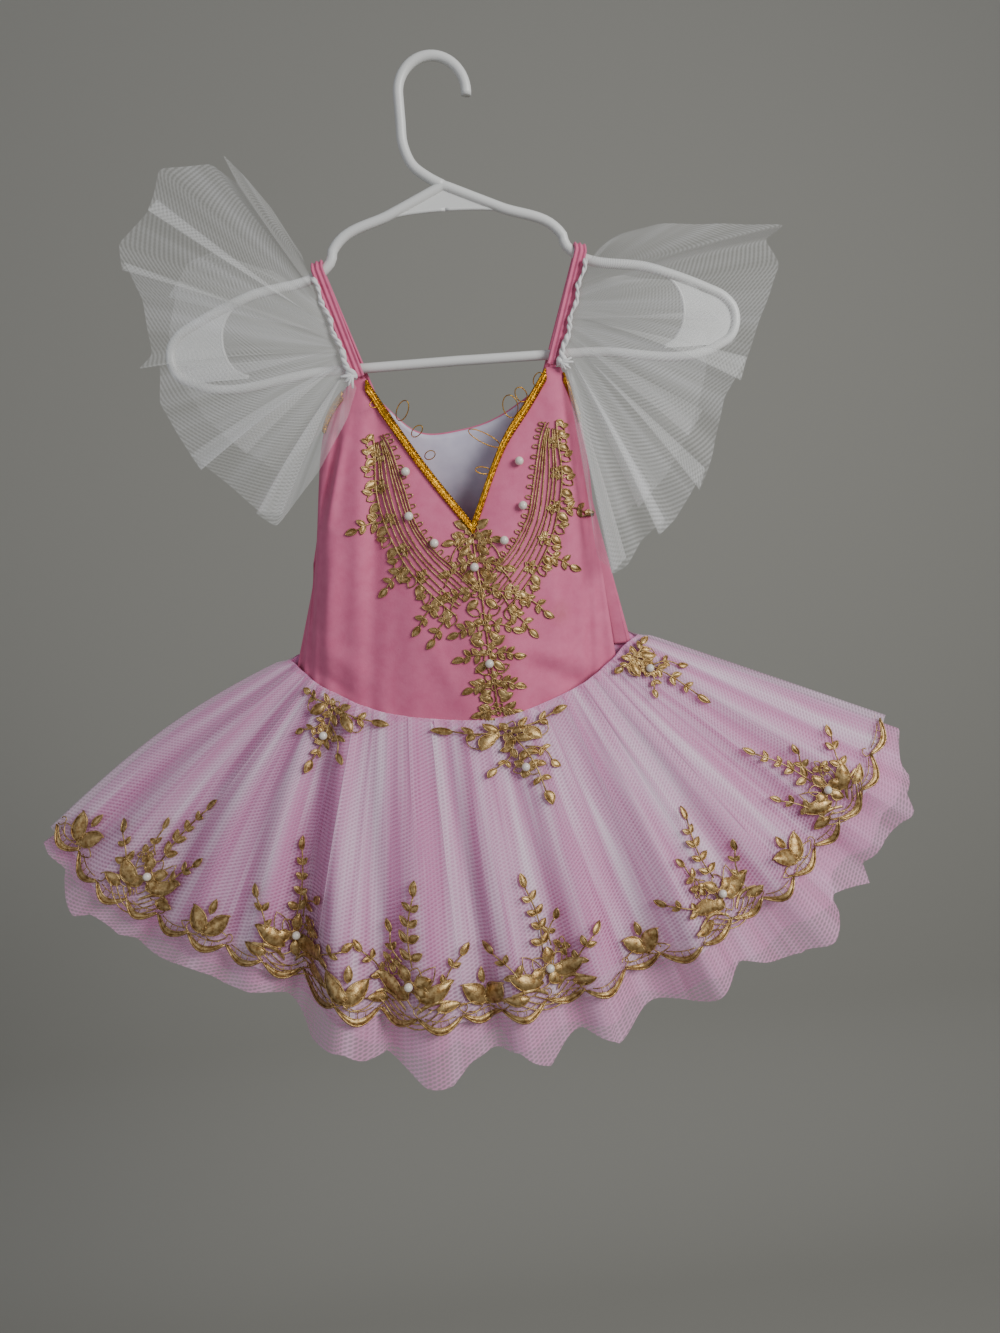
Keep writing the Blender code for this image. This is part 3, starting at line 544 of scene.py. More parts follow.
def add_node(
    tree: bpy.types.NodeTree, kind: str, values: dict | None = None, links: dict | None = None, **settings
) -> bpy.types.Node:
    """Add a node with its settings, input values and links.

    Args:
        tree: the node tree.
        kind: the node's type name.
        values: input socket name or number to value.
        links: input socket name or number to the output socket it takes.
        **settings: attributes of the node.
    Returns:
        The new node.
    """
    node = tree.nodes.new(kind)
    for name, value in settings.items():
        setattr(node, name, value)
    for socket, value in (values or {}).items():
        node.inputs[socket].default_value = value
    for socket, source in (links or {}).items():
        tree.links.new(source, node.inputs[socket])
    return node


def start_material(name: str) -> tuple[bpy.types.Material, bpy.types.NodeTree, bpy.types.Node]:
    """A new material with its tree and its Principled shader."""
    material = bpy.data.materials.new(name)
    material.use_nodes = True
    return material, material.node_tree, material.node_tree.nodes["Principled BSDF"]


def set_inputs(shader: bpy.types.Node, **values: float | tuple) -> None:
    """Set a shader's inputs, with underscores for the spaces in their names."""
    for name, value in values.items():
        shader.inputs[name.replace("_", " ").title().replace("Ior", "IOR")].default_value = value


def noise(
    tree: bpy.types.NodeTree, vector: bpy.types.NodeSocket, pitch: float, detail: float = 2
) -> bpy.types.NodeSocket:
    """Noise from 0 to 1 whose blots are about pitch millimetres wide."""
    values = {"Scale": 1 / (pitch * MM), "Detail": detail, "Roughness": 0.6}
    texture = add_node(tree, "ShaderNodeTexNoise", values, {"Vector": vector})
    return texture.outputs["Fac"]


def ramp(
    tree: bpy.types.NodeTree,
    value: bpy.types.NodeSocket,
    low: float,
    high: float,
    to_low: float = 0,
    to_high: float = 1,
) -> bpy.types.NodeSocket:
    """A value's range moved onto another, without passing its ends."""
    node = add_node(
        tree,
        "ShaderNodeMapRange",
        {"From Min": low, "From Max": high, "To Min": to_low, "To Max": to_high},
        {"Value": value},
    )
    return node.outputs["Result"]


def blend_colours(
    tree: bpy.types.NodeTree, share: bpy.types.NodeSocket, low: str | bpy.types.NodeSocket, high: str
) -> bpy.types.NodeSocket:
    """A colour between two, by a share from 0 to 1."""
    node = add_node(tree, "ShaderNodeMix", {7: linear(high)}, {0: share}, data_type="RGBA")
    if isinstance(low, str):
        node.inputs[6].default_value = linear(low)
    else:
        tree.links.new(low, node.inputs[6])
    return node.outputs[2]


def math_node(
    tree: bpy.types.NodeTree, operation: str, *terms: float | bpy.types.NodeSocket
) -> bpy.types.NodeSocket:
    """A sum, product or other operation on values and sockets."""
    node = add_node(tree, "ShaderNodeMath", operation=operation)
    for slot, term in zip(node.inputs, terms):
        if isinstance(term, (int, float)):
            slot.default_value = term
        else:
            tree.links.new(term, slot)
    return node.outputs[0]


@dataclass(frozen=True)
class StretchKnit:
    """Matte nylon-and-cotton jersey: the eye gets an even pink, faintly mottled, with a soft bloom
    at grazing angles and no hard highlight."""

    name: str = "pink stretch knit"
    colour: str = "#DE7396"
    deep: str = "#CF5F85"
    stain: tuple[float, float, float] | None = None

    def material(self) -> bpy.types.Material:
        """Make the material."""
        material, tree, shader = start_material(self.name)
        set_inputs(shader, roughness=0.78, sheen_weight=0.32, sheen_roughness=0.45, sheen_tint=linear("#FFC4DA"))
        place = add_node(tree, "ShaderNodeTexCoord").outputs["Object"]
        blots = ramp(tree, noise(tree, place, 9, 3), 0.35, 0.7)
        colour = blend_colours(tree, math_node(tree, "MULTIPLY", blots, 0.6), self.colour, self.deep)
        # real loops are 0.4 mm apart: drawn as 1.6 mm grain, so that a render still shows a knit
        grain = noise(tree, place, 1.6, 2)
        specks = ramp(tree, noise(tree, place, 3.2, 4), 0.70, 0.76)
        colour = blend_colours(tree, math_node(tree, "MULTIPLY", specks, 0.5), colour, "#B54A70")
        if self.stain:
            distance = add_node(
                tree, "ShaderNodeVectorMath", {1: self.stain}, {0: place}, operation="DISTANCE"
            ).outputs["Value"]
            near = ramp(tree, distance, 0.003, 0.013, 0.30, 0.0)
            patch = math_node(tree, "MULTIPLY", near, ramp(tree, noise(tree, place, 5), 0.3, 0.6, 0.5, 1))
            colour = blend_colours(tree, patch, colour, "#9C5A3C")
        tree.links.new(colour, shader.inputs["Base Color"])
        dent = add_node(tree, "ShaderNodeBump", {"Strength": 0.18, "Distance": 0.0006}, {"Height": grain})
        tree.links.new(dent.outputs["Normal"], shader.inputs["Normal"])
        return material


@dataclass(frozen=True)
class PlainCloth:
    """Plain woven lining: the eye gets a smooth cool white with no sheen."""

    name: str = "white lining"
    colour: str = "#DAD6E6"

    def material(self) -> bpy.types.Material:
        """Make the material."""
        material, tree, shader = start_material(self.name)
        set_inputs(shader, roughness=0.85)
        place = add_node(tree, "ShaderNodeTexCoord").outputs["Object"]
        blots = ramp(tree, noise(tree, place, 14), 0.35, 0.7, 0, 0.6)
        tree.links.new(blend_colours(tree, blots, self.colour, "#C3BDD2"), shader.inputs["Base Color"])
        return material


@dataclass(frozen=True)
class Tulle:
    """Nylon net: the eye looks through its holes, sees a haze where layers double and a fine
    six-sided grid at its edges."""

    name: str
    colour: str
    streak: str
    hole_cover: float
    thread_cover: float
    streak_cover: float = 0.1
    lines: float = 0.35
    # the real net is 1.2 mm from hole to hole: drawn at 2.6 mm, as the photo's pixels show it
    pitch: float = 2.6

    def material(self) -> bpy.types.Material:
        """Make the material."""
        material, tree, shader = start_material(self.name)
        set_inputs(shader, roughness=0.55, sheen_weight=0.25, sheen_roughness=0.4, specular_ior_level=0.3)
        place = add_node(tree, "ShaderNodeTexCoord").outputs["UV"]
        waves = []
        for degrees in (0, 60, 120):
            turn, rate = math.radians(degrees), 2 * math.pi / (self.pitch * MM)
            way = (rate * math.cos(turn), rate * math.sin(turn), 0)
            phase = add_node(
                tree, "ShaderNodeVectorMath", {1: way}, {0: place}, operation="DOT_PRODUCT"
            ).outputs["Value"]
            waves.append(math_node(tree, "COSINE", phase))
        first = math_node(tree, "MULTIPLY", waves[0], 1 - self.lines)
        second = math_node(tree, "MULTIPLY", waves[1], 1 + self.lines)
        third = math_node(tree, "MULTIPLY", waves[2], 1 - self.lines)
        total = math_node(tree, "ADD", math_node(tree, "ADD", first, second), third)
        thread = ramp(tree, total, 0.9, -0.9)
        stretch = add_node(tree, "ShaderNodeVectorMath", {1: (70, 4, 0)}, {0: place}, operation="MULTIPLY")
        soft = add_node(
            tree, "ShaderNodeTexNoise", {"Scale": 1.0, "Detail": 3}, {"Vector": stretch.outputs["Vector"]}
        )
        streaks = ramp(tree, soft.outputs["Fac"], 0.38, 0.68)
        cover = math_node(
            tree,
            "ADD",
            math_node(tree, "MULTIPLY", thread, self.thread_cover - self.hole_cover),
            math_node(tree, "MULTIPLY", streaks, self.streak_cover),
        )
        cover = math_node(tree, "ADD", cover, self.hole_cover)
        tree.links.new(blend_colours(tree, streaks, self.colour, self.streak), shader.inputs["Base Color"])
        tree.links.new(cover, shader.inputs["Alpha"])
        return material


@dataclass(frozen=True)
class MetalThread:
    """Metallised thread: the eye gets small warm glints on cords and satin stitches. Its shadow colour is painted
    shade, a darker brown laid in noise blots, standing in for the shade in the hollows between them."""

    name: str
    colour: str
    shadow: str
    roughness: float
    metallic: float

    def material(self) -> bpy.types.Material:
        """Make the material."""
        material, tree, shader = start_material(self.name)
        set_inputs(shader, roughness=self.roughness, metallic=self.metallic)
        place = add_node(tree, "ShaderNodeTexCoord").outputs["Object"]
        # painted shade: noise blots blend the thread's gold towards its darker shadow colour
        painted_shade_share = ramp(tree, noise(tree, place, 3.5, 3), 0.36, 0.64)
        tree.links.new(blend_colours(tree, painted_shade_share, self.shadow, self.colour), shader.inputs["Base Color"])
        # the real thread is wound 0.3 mm apart: drawn at 0.9 mm
        fine = noise(tree, place, 0.9, 2)
        dent = add_node(tree, "ShaderNodeBump", {"Strength": 0.5, "Distance": 0.0004}, {"Height": fine})
        tree.links.new(dent.outputs["Normal"], shader.inputs["Normal"])
        return material


@dataclass(frozen=True)
class Glazed:
    """A smooth hard surface, moulded plastic or pearl: the eye gets its colour and one soft glint."""

    name: str
    colour: str
    roughness: float
    coat: float = 0.0

    def material(self) -> bpy.types.Material:
        """Make the material."""
        material, _, shader = start_material(self.name)
        set_inputs(shader, base_color=linear(self.colour), roughness=self.roughness, coat_weight=self.coat)
        return material


Finish = StretchKnit | PlainCloth | Tulle | MetalThread | Glazed
KNIT = StretchKnit()
FRONT_KNIT = StretchKnit("pink stretch knit, front", stain=(0.0634, -0.030, -0.400))
LINING = PlainCloth()
TOP_TULLE = Tulle("pale pink tulle", "#F2B9E0", "#FBEAF8", 0.16, 0.44, 0.26)
UNDER_TULLE = Tulle("pink tulle", "#EE9CCB", "#F4BCDF", 0.20, 0.58, 0.14)
BASE_TULLE = Tulle("stacked pink tulle", "#E283B9", "#EBA0CB", 0.94, 1.0, 0.04)
WHITE_TULLE = Tulle("white tulle", "#E9E9E4", "#FFFFFF", 0.07, 0.22, 0.07, lines=0.6, pitch=2.4)
WHITE_ROLL = Tulle("rolled white tulle", "#E4E2DE", "#FFFFFF", 0.86, 1.0, 0.05)
# each thread's second colour is its painted shade, not a patina
GOLD_LACE = MetalThread("antique gold thread", "#C9AA74", "#8A6636", 0.40, 0.72)
GOLD_BRAID = MetalThread("bright gold braid", "#E2A92E", "#A36B12", 0.28, 0.95)
PEARL = Glazed("pearl", "#EDE3D6", 0.22, 0.6)
PLASTIC = Glazed("white plastic", "#E3E3DF", 0.36)


# --- Making pieces ------------------------------------------------------------------------------


class Maker:
    """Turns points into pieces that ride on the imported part."""

    def __init__(self) -> None:
        self.materials: dict[str, bpy.types.Material] = {}
        self.faces = 0

    def finish(self, finish: Finish) -> bpy.types.Material:
        """The finish's material, made once."""
        if finish.name not in self.materials:
            self.materials[finish.name] = finish.material()
        return self.materials[finish.name]

    def piece(
        self,
        name: str,
        points: Points,
        faces: Points | list,
        finish: Finish,
        slot: str,
        replaces: Sequence[str] = (),
        uv: Points | None = None,
    ) -> bpy.types.Object:
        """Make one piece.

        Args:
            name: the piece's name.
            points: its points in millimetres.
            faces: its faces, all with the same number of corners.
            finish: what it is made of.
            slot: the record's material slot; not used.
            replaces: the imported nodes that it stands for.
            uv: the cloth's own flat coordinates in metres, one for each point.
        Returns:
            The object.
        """
        corners = np.asarray(faces, np.int64)
        mesh = bpy.data.meshes.new(name)
        mesh.vertices.add(len(points))
        mesh.vertices.foreach_set("co", (np.asarray(points, float) * MM).ravel())
        mesh.loops.add(corners.size)
        mesh.loops.foreach_set("vertex_index", corners.ravel())
        mesh.polygons.add(len(corners))
        mesh.polygons.foreach_set("loop_start", np.arange(len(corners)) * corners.shape[1])
        if uv is not None:
            mesh.uv_layers.new(name="cloth").uv.foreach_set("vector", uv[corners.ravel()].ravel())
        mesh.update(calc_edges=True)
        mesh.validate()
        mesh.shade_smooth()
        made = bpy.data.objects.new(name, mesh)
        made.data.materials.append(self.finish(finish))
        bpy.context.scene.collection.objects.link(made)
        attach(made, "root")
        if replaces:
            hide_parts(*replaces)
        self.faces += len(corners) * (corners.shape[1] - 2)
        log.info("%s: %d points, %d faces", name, len(points), len(corners))
        return made

    def grid(
        self,
        name: str,
        points: Points,
        uv: Points,
        finish: Finish,
        slot: str,
        replaces: Sequence[str] = (),
        closed: bool = False,
    ) -> bpy.types.Object:
        """Make a piece of cloth through rows of points; closed joins each row's ends."""
        faces = grid_faces(*points.shape[:2], closed)
        return self.piece(name, points.reshape(-1, 3), faces, finish, slot, replaces, uv.reshape(-1, 2))

    def wall(self, piece: bpy.types.Object, wall: float) -> bpy.types.Object:
        """Give a sheet its wall, inside its own face."""
        solidify = piece.modifiers.new("wall", "SOLIDIFY")
        solidify.thickness = wall * MM
        solidify.offset = -1
        return piece


def grid_faces(rows: int, columns: int, closed: bool = False) -> Points:
    """The quads of a grid whose points are numbered along its rows."""
    r, c = np.meshgrid(np.arange(rows - 1), np.arange(columns if closed else columns - 1), indexing="ij")
    after = (c + 1) % columns
    quads = [r * columns + c, r * columns + after, (r + 1) * columns + after, (r + 1) * columns + c]
    return np.stack(quads, axis=-1).reshape(-1, 4)


def tube_rings(
    line: Points, radius: Points | float, sides: int, closed: bool, side: Points | None = None
) -> Points:
    """Rings of points round a line.

    Args:
        line: the line's points.
        radius: one radius, or one for each point.
        sides: points in each ring.
        closed: whether the line's ends join.
        side: a way across the line at each point, or None for the one nearest to Y.
    Returns:
        An array of rings of points.
    """
    if closed:
        along = np.roll(line, -1, axis=0) - np.roll(line, 1, axis=0)
    else:
        along = np.gradient(line, axis=0)
    along /= np.maximum(np.linalg.norm(along, axis=1, keepdims=True), 1e-9)
    up = np.tile([0.0, 1.0, 0.0], (len(line), 1)) if side is None else side
    across = np.cross(along, up)
    across /= np.maximum(np.linalg.norm(across, axis=1, keepdims=True), 1e-9)
    up = np.cross(across, along)
    turn = np.linspace(0, 2 * np.pi, sides, endpoint=False)[None, :, None]
    reach = np.broadcast_to(np.asarray(radius, float), (len(line),))[:, None, None]
    return line[:, None] + reach * (np.cos(turn) * across[:, None] + np.sin(turn) * up[:, None])


class Parts:
    """Separate shapes gathered into one piece."""

    def __init__(self) -> None:
        self.points: list[Points] = []
        self.faces: list[Points] = []
        self.count = 0

    def add(self, points: Points, faces: Points) -> None:
        """Add a shape made of quads."""
        self.points.append(points.reshape(-1, 3))
        self.faces.append(faces + self.count)
        self.count += len(self.points[-1])

    def tube(
        self,
        line: Points,
        radius: Points | float,
        sides: int = 6,
        closed: bool = False,
        side: Points | None = None,
    ) -> None:
        """Add a round cord along a line, drawn in to a point at free ends."""
        rings = tube_rings(line, radius, sides, closed, side)
        if not closed:
            tips = [rings[:1].mean(axis=1, keepdims=True), rings[-1:].mean(axis=1, keepdims=True)]
            tips = [tip + (ring - tip) * 0.02 for tip, ring in zip(tips, (rings[:1], rings[-1:]))]
            rings = np.concatenate([tips[0], rings, tips[1]])
        count = len(rings)
        faces = grid_faces(count, sides, closed=True)
        if closed:
            last, first = (count - 1) * sides + np.arange(sides), np.arange(sides)
            join = np.stack([last, np.roll(last, -1), np.roll(first, -1), first], axis=-1)
            faces = np.concatenate([faces, join])
        self.add(rings, faces)

    def all(self) -> tuple[Points, Points]:
        """Every point and every face."""
        return np.concatenate(self.points), np.concatenate(self.faces)


# --- Lace ---------------------------------------------------------------------------------------


def turned(points: Points, degrees: float, at: Sequence[float] = (0.0, 0.0)) -> Points:
    """Plan points turned about the origin and moved."""
    c, s = math.cos(math.radians(degrees)), math.sin(math.radians(degrees))
    return points @ np.array([[c, s], [-s, c]]) + np.array(at, float)


def arc(start: Sequence[float], end: Sequence[float], rise: float, count: int = 9) -> Points:
    """A plan curve between two points that bows to its left by rise."""
    t = np.linspace(0, 1, count)[:, None]
    start, end = np.array(start, float), np.array(end, float)
    way = end - start
    left = np.array([-way[1], way[0]]) / max(float(np.hypot(*way)), 1e-9)
    return start + way * t + left * rise * np.sin(np.pi * t)


class Needlework:
    """Cords, satin leaves and pearls drawn on a flat plan and laid on a surface."""

    def __init__(self, place: Place, rng: random.Random, lift: float = 0.2) -> None:
        self.place, self.rng, self.lift = place, rng, lift
        self.cords: list[tuple[Points, float, bool, float]] = []
        self.fills: list[tuple[Points, Points]] = []
        self.pearls: list[tuple[float, float, float]] = []

    def cord(self, line: Points, radius: float = 0.6, closed: bool = False, rise: float = 0.0) -> None:
        """Draw a cord."""
        self.cords.append((np.asarray(line, float), radius, closed, rise))

    def fill(self, left: Points, right: Points, dome: float) -> None:
        """Fill the space between two lines with satin stitch, higher in its middle."""
        across = np.linspace(0, 1, 5)
        plan = left[:, None] * (1 - across)[None, :, None] + right[:, None] * across[None, :, None]
        ends = np.sin(np.pi * np.linspace(0.02, 0.98, len(left)))[:, None] ** 0.5
        self.fills.append((plan, dome * ends * np.sin(np.pi * across)[None, :]))

    def leaf(
        self,
        at: Sequence[float],
        degrees: float,
        length: float,
        width: float,
        filled: bool = True,
        cord: float = 0.55,
    ) -> None:
        """Draw a pointed leaf from its foot: a corded edge round satin stitch or an open middle."""
        t = np.linspace(0, 1, 8)
        half = width / 2 * np.sin(np.pi * t**0.85) ** 0.8
        bend = 0.08 * length * self.rng.uniform(-1, 1) * np.sin(np.pi * t)
        left = turned(np.stack([length * t, bend + half], axis=1), degrees, at)
        right = turned(np.stack([length * t, bend - half], axis=1), degrees, at)
        if filled:
            self.fill(left, right, 0.16 * width)
        self.cord(np.concatenate([left, right[-2:0:-1]]), cord, closed=True)

    def flower(self, at: Sequence[float], radius: float, petals: int, turn: float = 0.0) -> None:
        """Draw an open flower of looped petals round a ring."""
        for k in range(petals):
            degrees = turn + 360 * k / petals + self.rng.uniform(-6, 6)
            foot = turned(np.array([[radius * 0.24, 0]]), degrees, at)[0]
            self.leaf(foot, degrees, radius * self.rng.uniform(0.72, 0.86), radius * 0.62, filled=k % 2 == 0)
        turns = np.linspace(0, 2 * np.pi, 9)[:-1]
        ring = np.stack([np.cos(turns), np.sin(turns)], axis=1) * radius * 0.24 + np.array(at, float)
        self.cord(ring, 0.65, closed=True, rise=0.3)

    def sprig(
        self, at: Sequence[float], degrees: float, length: float, pairs: int, leaf: float = 9.0, bow: float = 4.0
    ) -> None:
        """Draw a stem with pairs of leaves and a leaf at its tip."""
        tip = turned(np.array([[length, 0]]), degrees, at)[0]
        stem = arc(at, tip, bow, 10)
        self.cord(stem, 0.65)
        for k in range(pairs):
            share = (k + 0.8) / (pairs + 0.6)
            foot = stem[int(share * 9)]
            size = leaf * (1.1 - 0.35 * share) * self.rng.uniform(0.85, 1.15)
            for sign in (-1, 1):
                self.leaf(foot, degrees + sign * self.rng.uniform(42, 62), size, size * 0.52)
        self.leaf(tip - (stem[-1] - stem[-2]) * 0.2, degrees - bow, leaf * 1.25, leaf * 0.6)

    def scroll(self, at: Sequence[float], degrees: float, size: float, hand: int) -> None:
        """Draw a small curled tendril."""
        t = np.linspace(0, 1, 12)
        turn = t * 1.5 * np.pi * hand
        reach = size * (1 - 0.62 * t)
        line = np.stack([size - reach * np.cos(turn), reach * np.sin(turn)], axis=1)
        self.cord(turned(line, degrees, at), 0.5)

    def pearl(self, x: float, z: float, radius: float = 3.2) -> None:
        """Sew on a pearl."""
        self.pearls.append((x, z, radius))

    def parts(self) -> Parts:
        """Lay every cord and fill on the surface."""
        parts = Parts()
        plans = [line for line, *_ in self.cords] + [plan.reshape(-1, 2) for plan, _ in self.fills]
        points, normals = self.place(np.concatenate(plans))
        start = 0
        for line, radius, closed, rise in self.cords:
            stop = start + len(line)
            out = normals[start:stop]
            parts.tube(points[start:stop] + out * (self.lift + radius + rise), radius, 5, closed, out)
            start = stop
        for plan, height in self.fills:
            stop = start + height.size
            grid = points[start:stop] + normals[start:stop] * (self.lift + 0.15 + height.reshape(-1, 1))
            parts.add(grid, grid_faces(*height.shape))
            start = stop
        return parts

    def pearl_parts(self) -> Parts:
        """Lay every pearl on the surface."""
        parts = Parts()
        points, normals = self.place(np.array([(x, z) for x, z, _ in self.pearls], float))
        turn, rows = np.linspace(0, 2 * np.pi, 16, endpoint=False), np.linspace(0.04, np.pi - 0.04, 9)
        ball = stack(
            np.sin(rows)[:, None] * np.cos(turn), np.sin(rows)[:, None] * np.sin(turn), np.cos(rows)[:, None]
        )
        for point, normal, (_, _, radius) in zip(points, normals, self.pearls):
            parts.add(point + normal * (self.lift + radius * 0.9) + ball * radius, grid_faces(9, 16, closed=True))
        return parts


# --- The dress ----------------------------------------------------------------------------------


@dataclass
class Pleats:
    """Uneven gathers of net: each folds over itself, and some die out on their way to the hem."""

    count: int
    seed: int
    stand: float
    overlap: float = 1.0

    def shift(self, at: Points, down: Points) -> tuple[Points, Points]:
        """How far the net slips sideways, as a share, and how far it stands out, in millimetres."""
        rng = random.Random(self.seed)
        slip, stand = np.zeros_like(down), np.zeros_like(down)
        for k in range(self.count):
            centre, lean = (k + rng.uniform(0.1, 0.9)) / self.count, rng.uniform(-0.4, 0.4) / self.count
            half, end = rng.uniform(0.16, 0.52) / self.count, rng.choice((0.3, 0.5, 0.8, 1.6, 1.6))
            force = rng.uniform(0.4, 1.0) * np.clip((end - down) / (0.5 * end), 0, 1)
            over, way = self.overlap * rng.uniform(0.7, 1.5), rng.choice((-0.6, 1, 1))
            aside = (at - centre - lean * down) / half
            bell = np.exp(-(aside**2))
            slip -= force * over * half * aside * bell
            stand += force * way * self.stand * bell
        return tip_fade(at) * slip, tip_fade(at) * stand


@dataclass
class SkirtLayer:
    """One ring of the skirt's net."""

    name: str
    finish: Tulle
    inset_waist: float
    inset_hem: float
    reach: float
    extra: float
    front: Pleats
    back: Pleats
    ragged: float = 0.0
    replaces: tuple[str, ...] = ()
    front_columns: int = 420
    back_columns: int = 190
    rows: int = 40
    cut_width: float = 1.40
    cut_length: float = 0.235

    def build(self, maker: Maker) -> bpy.types.Object:
        """Make the layer, with its cloth's flat coordinates."""
        share = np.linspace(0, 1, self.rows) ** 0.85
        halves, flats = [], []
        sides = ((True, self.front_columns, self.front), (False, self.back_columns, self.back))
        for front, columns, pleats in sides:
            at = np.linspace(0, 1, columns, endpoint=False)
            at = at if front else 1 - at
            longer = self.extra * RIB_CURVE(at)[..., -1] / RIB_LENGTH
            rng = random.Random(self.front.seed + front)
            knots = np.cumsum([0.0] + [rng.uniform(0.3, 1.7) for _ in range(44)])
            points = [rng.uniform(-1, 1) for _ in knots]
            cut = 1 + 0.10 * wave(at, FRONT_WAVES) + self.ragged * np.interp(at, knots / knots[-1], points)
            down = share[:, None] * (self.reach + longer * cut)[None, :]
            slip, stand = pleats.shift(np.broadcast_to(at, down.shape), down)
            tuck = 3.6 * np.exp(-down * RIB_LENGTH / 4.0) if self.inset_waist < 1 else 0
            inset = self.inset_waist + (self.inset_hem - self.inset_waist) * np.minimum(down, 1) + tuck - stand
            halves.append(skirt(front, np.clip(at + slip, 0, 1), down, inset))
            u = at * self.cut_width / 2 if front else (2 - at) * self.cut_width / 2
            flats.append(np.stack([np.broadcast_to(u, down.shape), down * RIB_LENGTH * MM], axis=-1))
        made = maker.grid(
            self.name,
            np.concatenate(halves, axis=1),
            np.concatenate(flats, axis=1),
            self.finish,
            "pink_tulle",
            self.replaces,
            closed=True,
        )
        return made


@dataclass
class Skirt:
    """The skirt's nets, from the outer layer to the stacked ones inside it."""

    def layers(self) -> list[SkirtLayer]:
        """The layers, outer first."""
        return [
            SkirtLayer(
                "skirt_top_net", TOP_TULLE, 0.4, 0.4, 1.0, 0.0,
                Pleats(38, 4, 1.6, 1.2), Pleats(24, 13, 1.1), replaces=("skirt_top",),
            ),
            SkirtLayer(
                "skirt_under_net", UNDER_TULLE, 3.2, 7.2, 1.0, 1.0,
                Pleats(30, 21, 2.4, 1.3), Pleats(18, 2, 1.0), ragged=0.30, replaces=("skirt_under",),
            ),
            SkirtLayer(
                "skirt_middle_net", UNDER_TULLE, 4.4, 11.5, 1.0, 0.66,
                Pleats(26, 40, 2.2, 1.3), Pleats(15, 31, 0.8), ragged=0.34, rows=30,
            ),
            SkirtLayer(
                "skirt_base_net", BASE_TULLE, 5.6, 15.0, 0.95, 0.12,
                Pleats(19, 55, 1.6, 0.8), Pleats(12, 22, 0.5),
                ragged=0.10, rows=26, front_columns=300, back_columns=140, cut_width=1.36, cut_length=0.215,
            ),
        ]  # fmt: skip

    def build(self, maker: Maker) -> None:
        """Make every layer."""
        for layer in self.layers():
            layer.build(maker)


def skirt_place(front: bool) -> Place:
    """The way from the hem lace's plan, along and up from the hem, to the skirt's top layer."""

    def surface(around: Points, down: Points) -> Points:
        return skirt(front, around, down)

    def place(plan: Points) -> tuple[Points, Points]:
        around, down = np.clip(plan[:, 0] / HEM_SPREAD, 0, 1), 1 - plan[:, 1] / RIB_LENGTH
        inside = np.clip(around, 0.004, 0.996)
        return surface(around, down), surface_normals(surface, inside, down, -1 if front else 1)

    return place


def waist_place(around: float) -> Place:
    """The way from a waist applique's plan, along and up from the seam, to the skirt's front."""

    def surface(at: Points, down: Points) -> Points:
        return skirt(True, at, down)

    def place(plan: Points) -> tuple[Points, Points]:
        down = (4 - plan[:, 1]) / RIB_LENGTH
        at = np.clip(around + plan[:, 0] / (WAIST_SPREAD + (HEM_SPREAD - WAIST_SPREAD) * down), 0.004, 0.996)
        return surface(at, down), surface_normals(surface, at, down, -1)

    return place


def bodice_place() -> Place:
    """The way from the front's elevation, X and Z, to the front panel."""
    across, up = np.meshgrid(np.linspace(0, 1, 180), np.linspace(0, 1, 110), indexing="xy")
    points = front_panel(across, up)
    tree = BVHTree.FromPolygons(points.reshape(-1, 3).tolist(), grid_faces(*points.shape[:2]).tolist())

    def place(plan: Points) -> tuple[Points, Points]:
        hits, normals = [], []
        for x, z in plan:
            hit, normal, _, _ = tree.ray_cast(Vector((x, -200, z)), Vector((0, 1, 0)))
            if hit is None:
                hit, normal, _, _ = tree.find_nearest(Vector((x, -25, z)))
            hits.append(hit)
            normals.append(normal if normal.y < 0 else -normal)
        return np.array(hits), np.array(normals)

    return place


def edge_place() -> Place:
    """The way from a braid's plan, share across the front and millimetres below its edge, to the panel."""

    def place(plan: Points) -> tuple[Points, Points]:
        across = plan[:, 0]
        length = np.linalg.norm(front_panel(across, 1 + 0 * across) - front_panel(across, 0 * across), axis=1)
        up = 1 - plan[:, 1] / length
        return front_panel(across, up), surface_normals(front_panel, across, np.minimum(up, 0.99), -1)

    return place


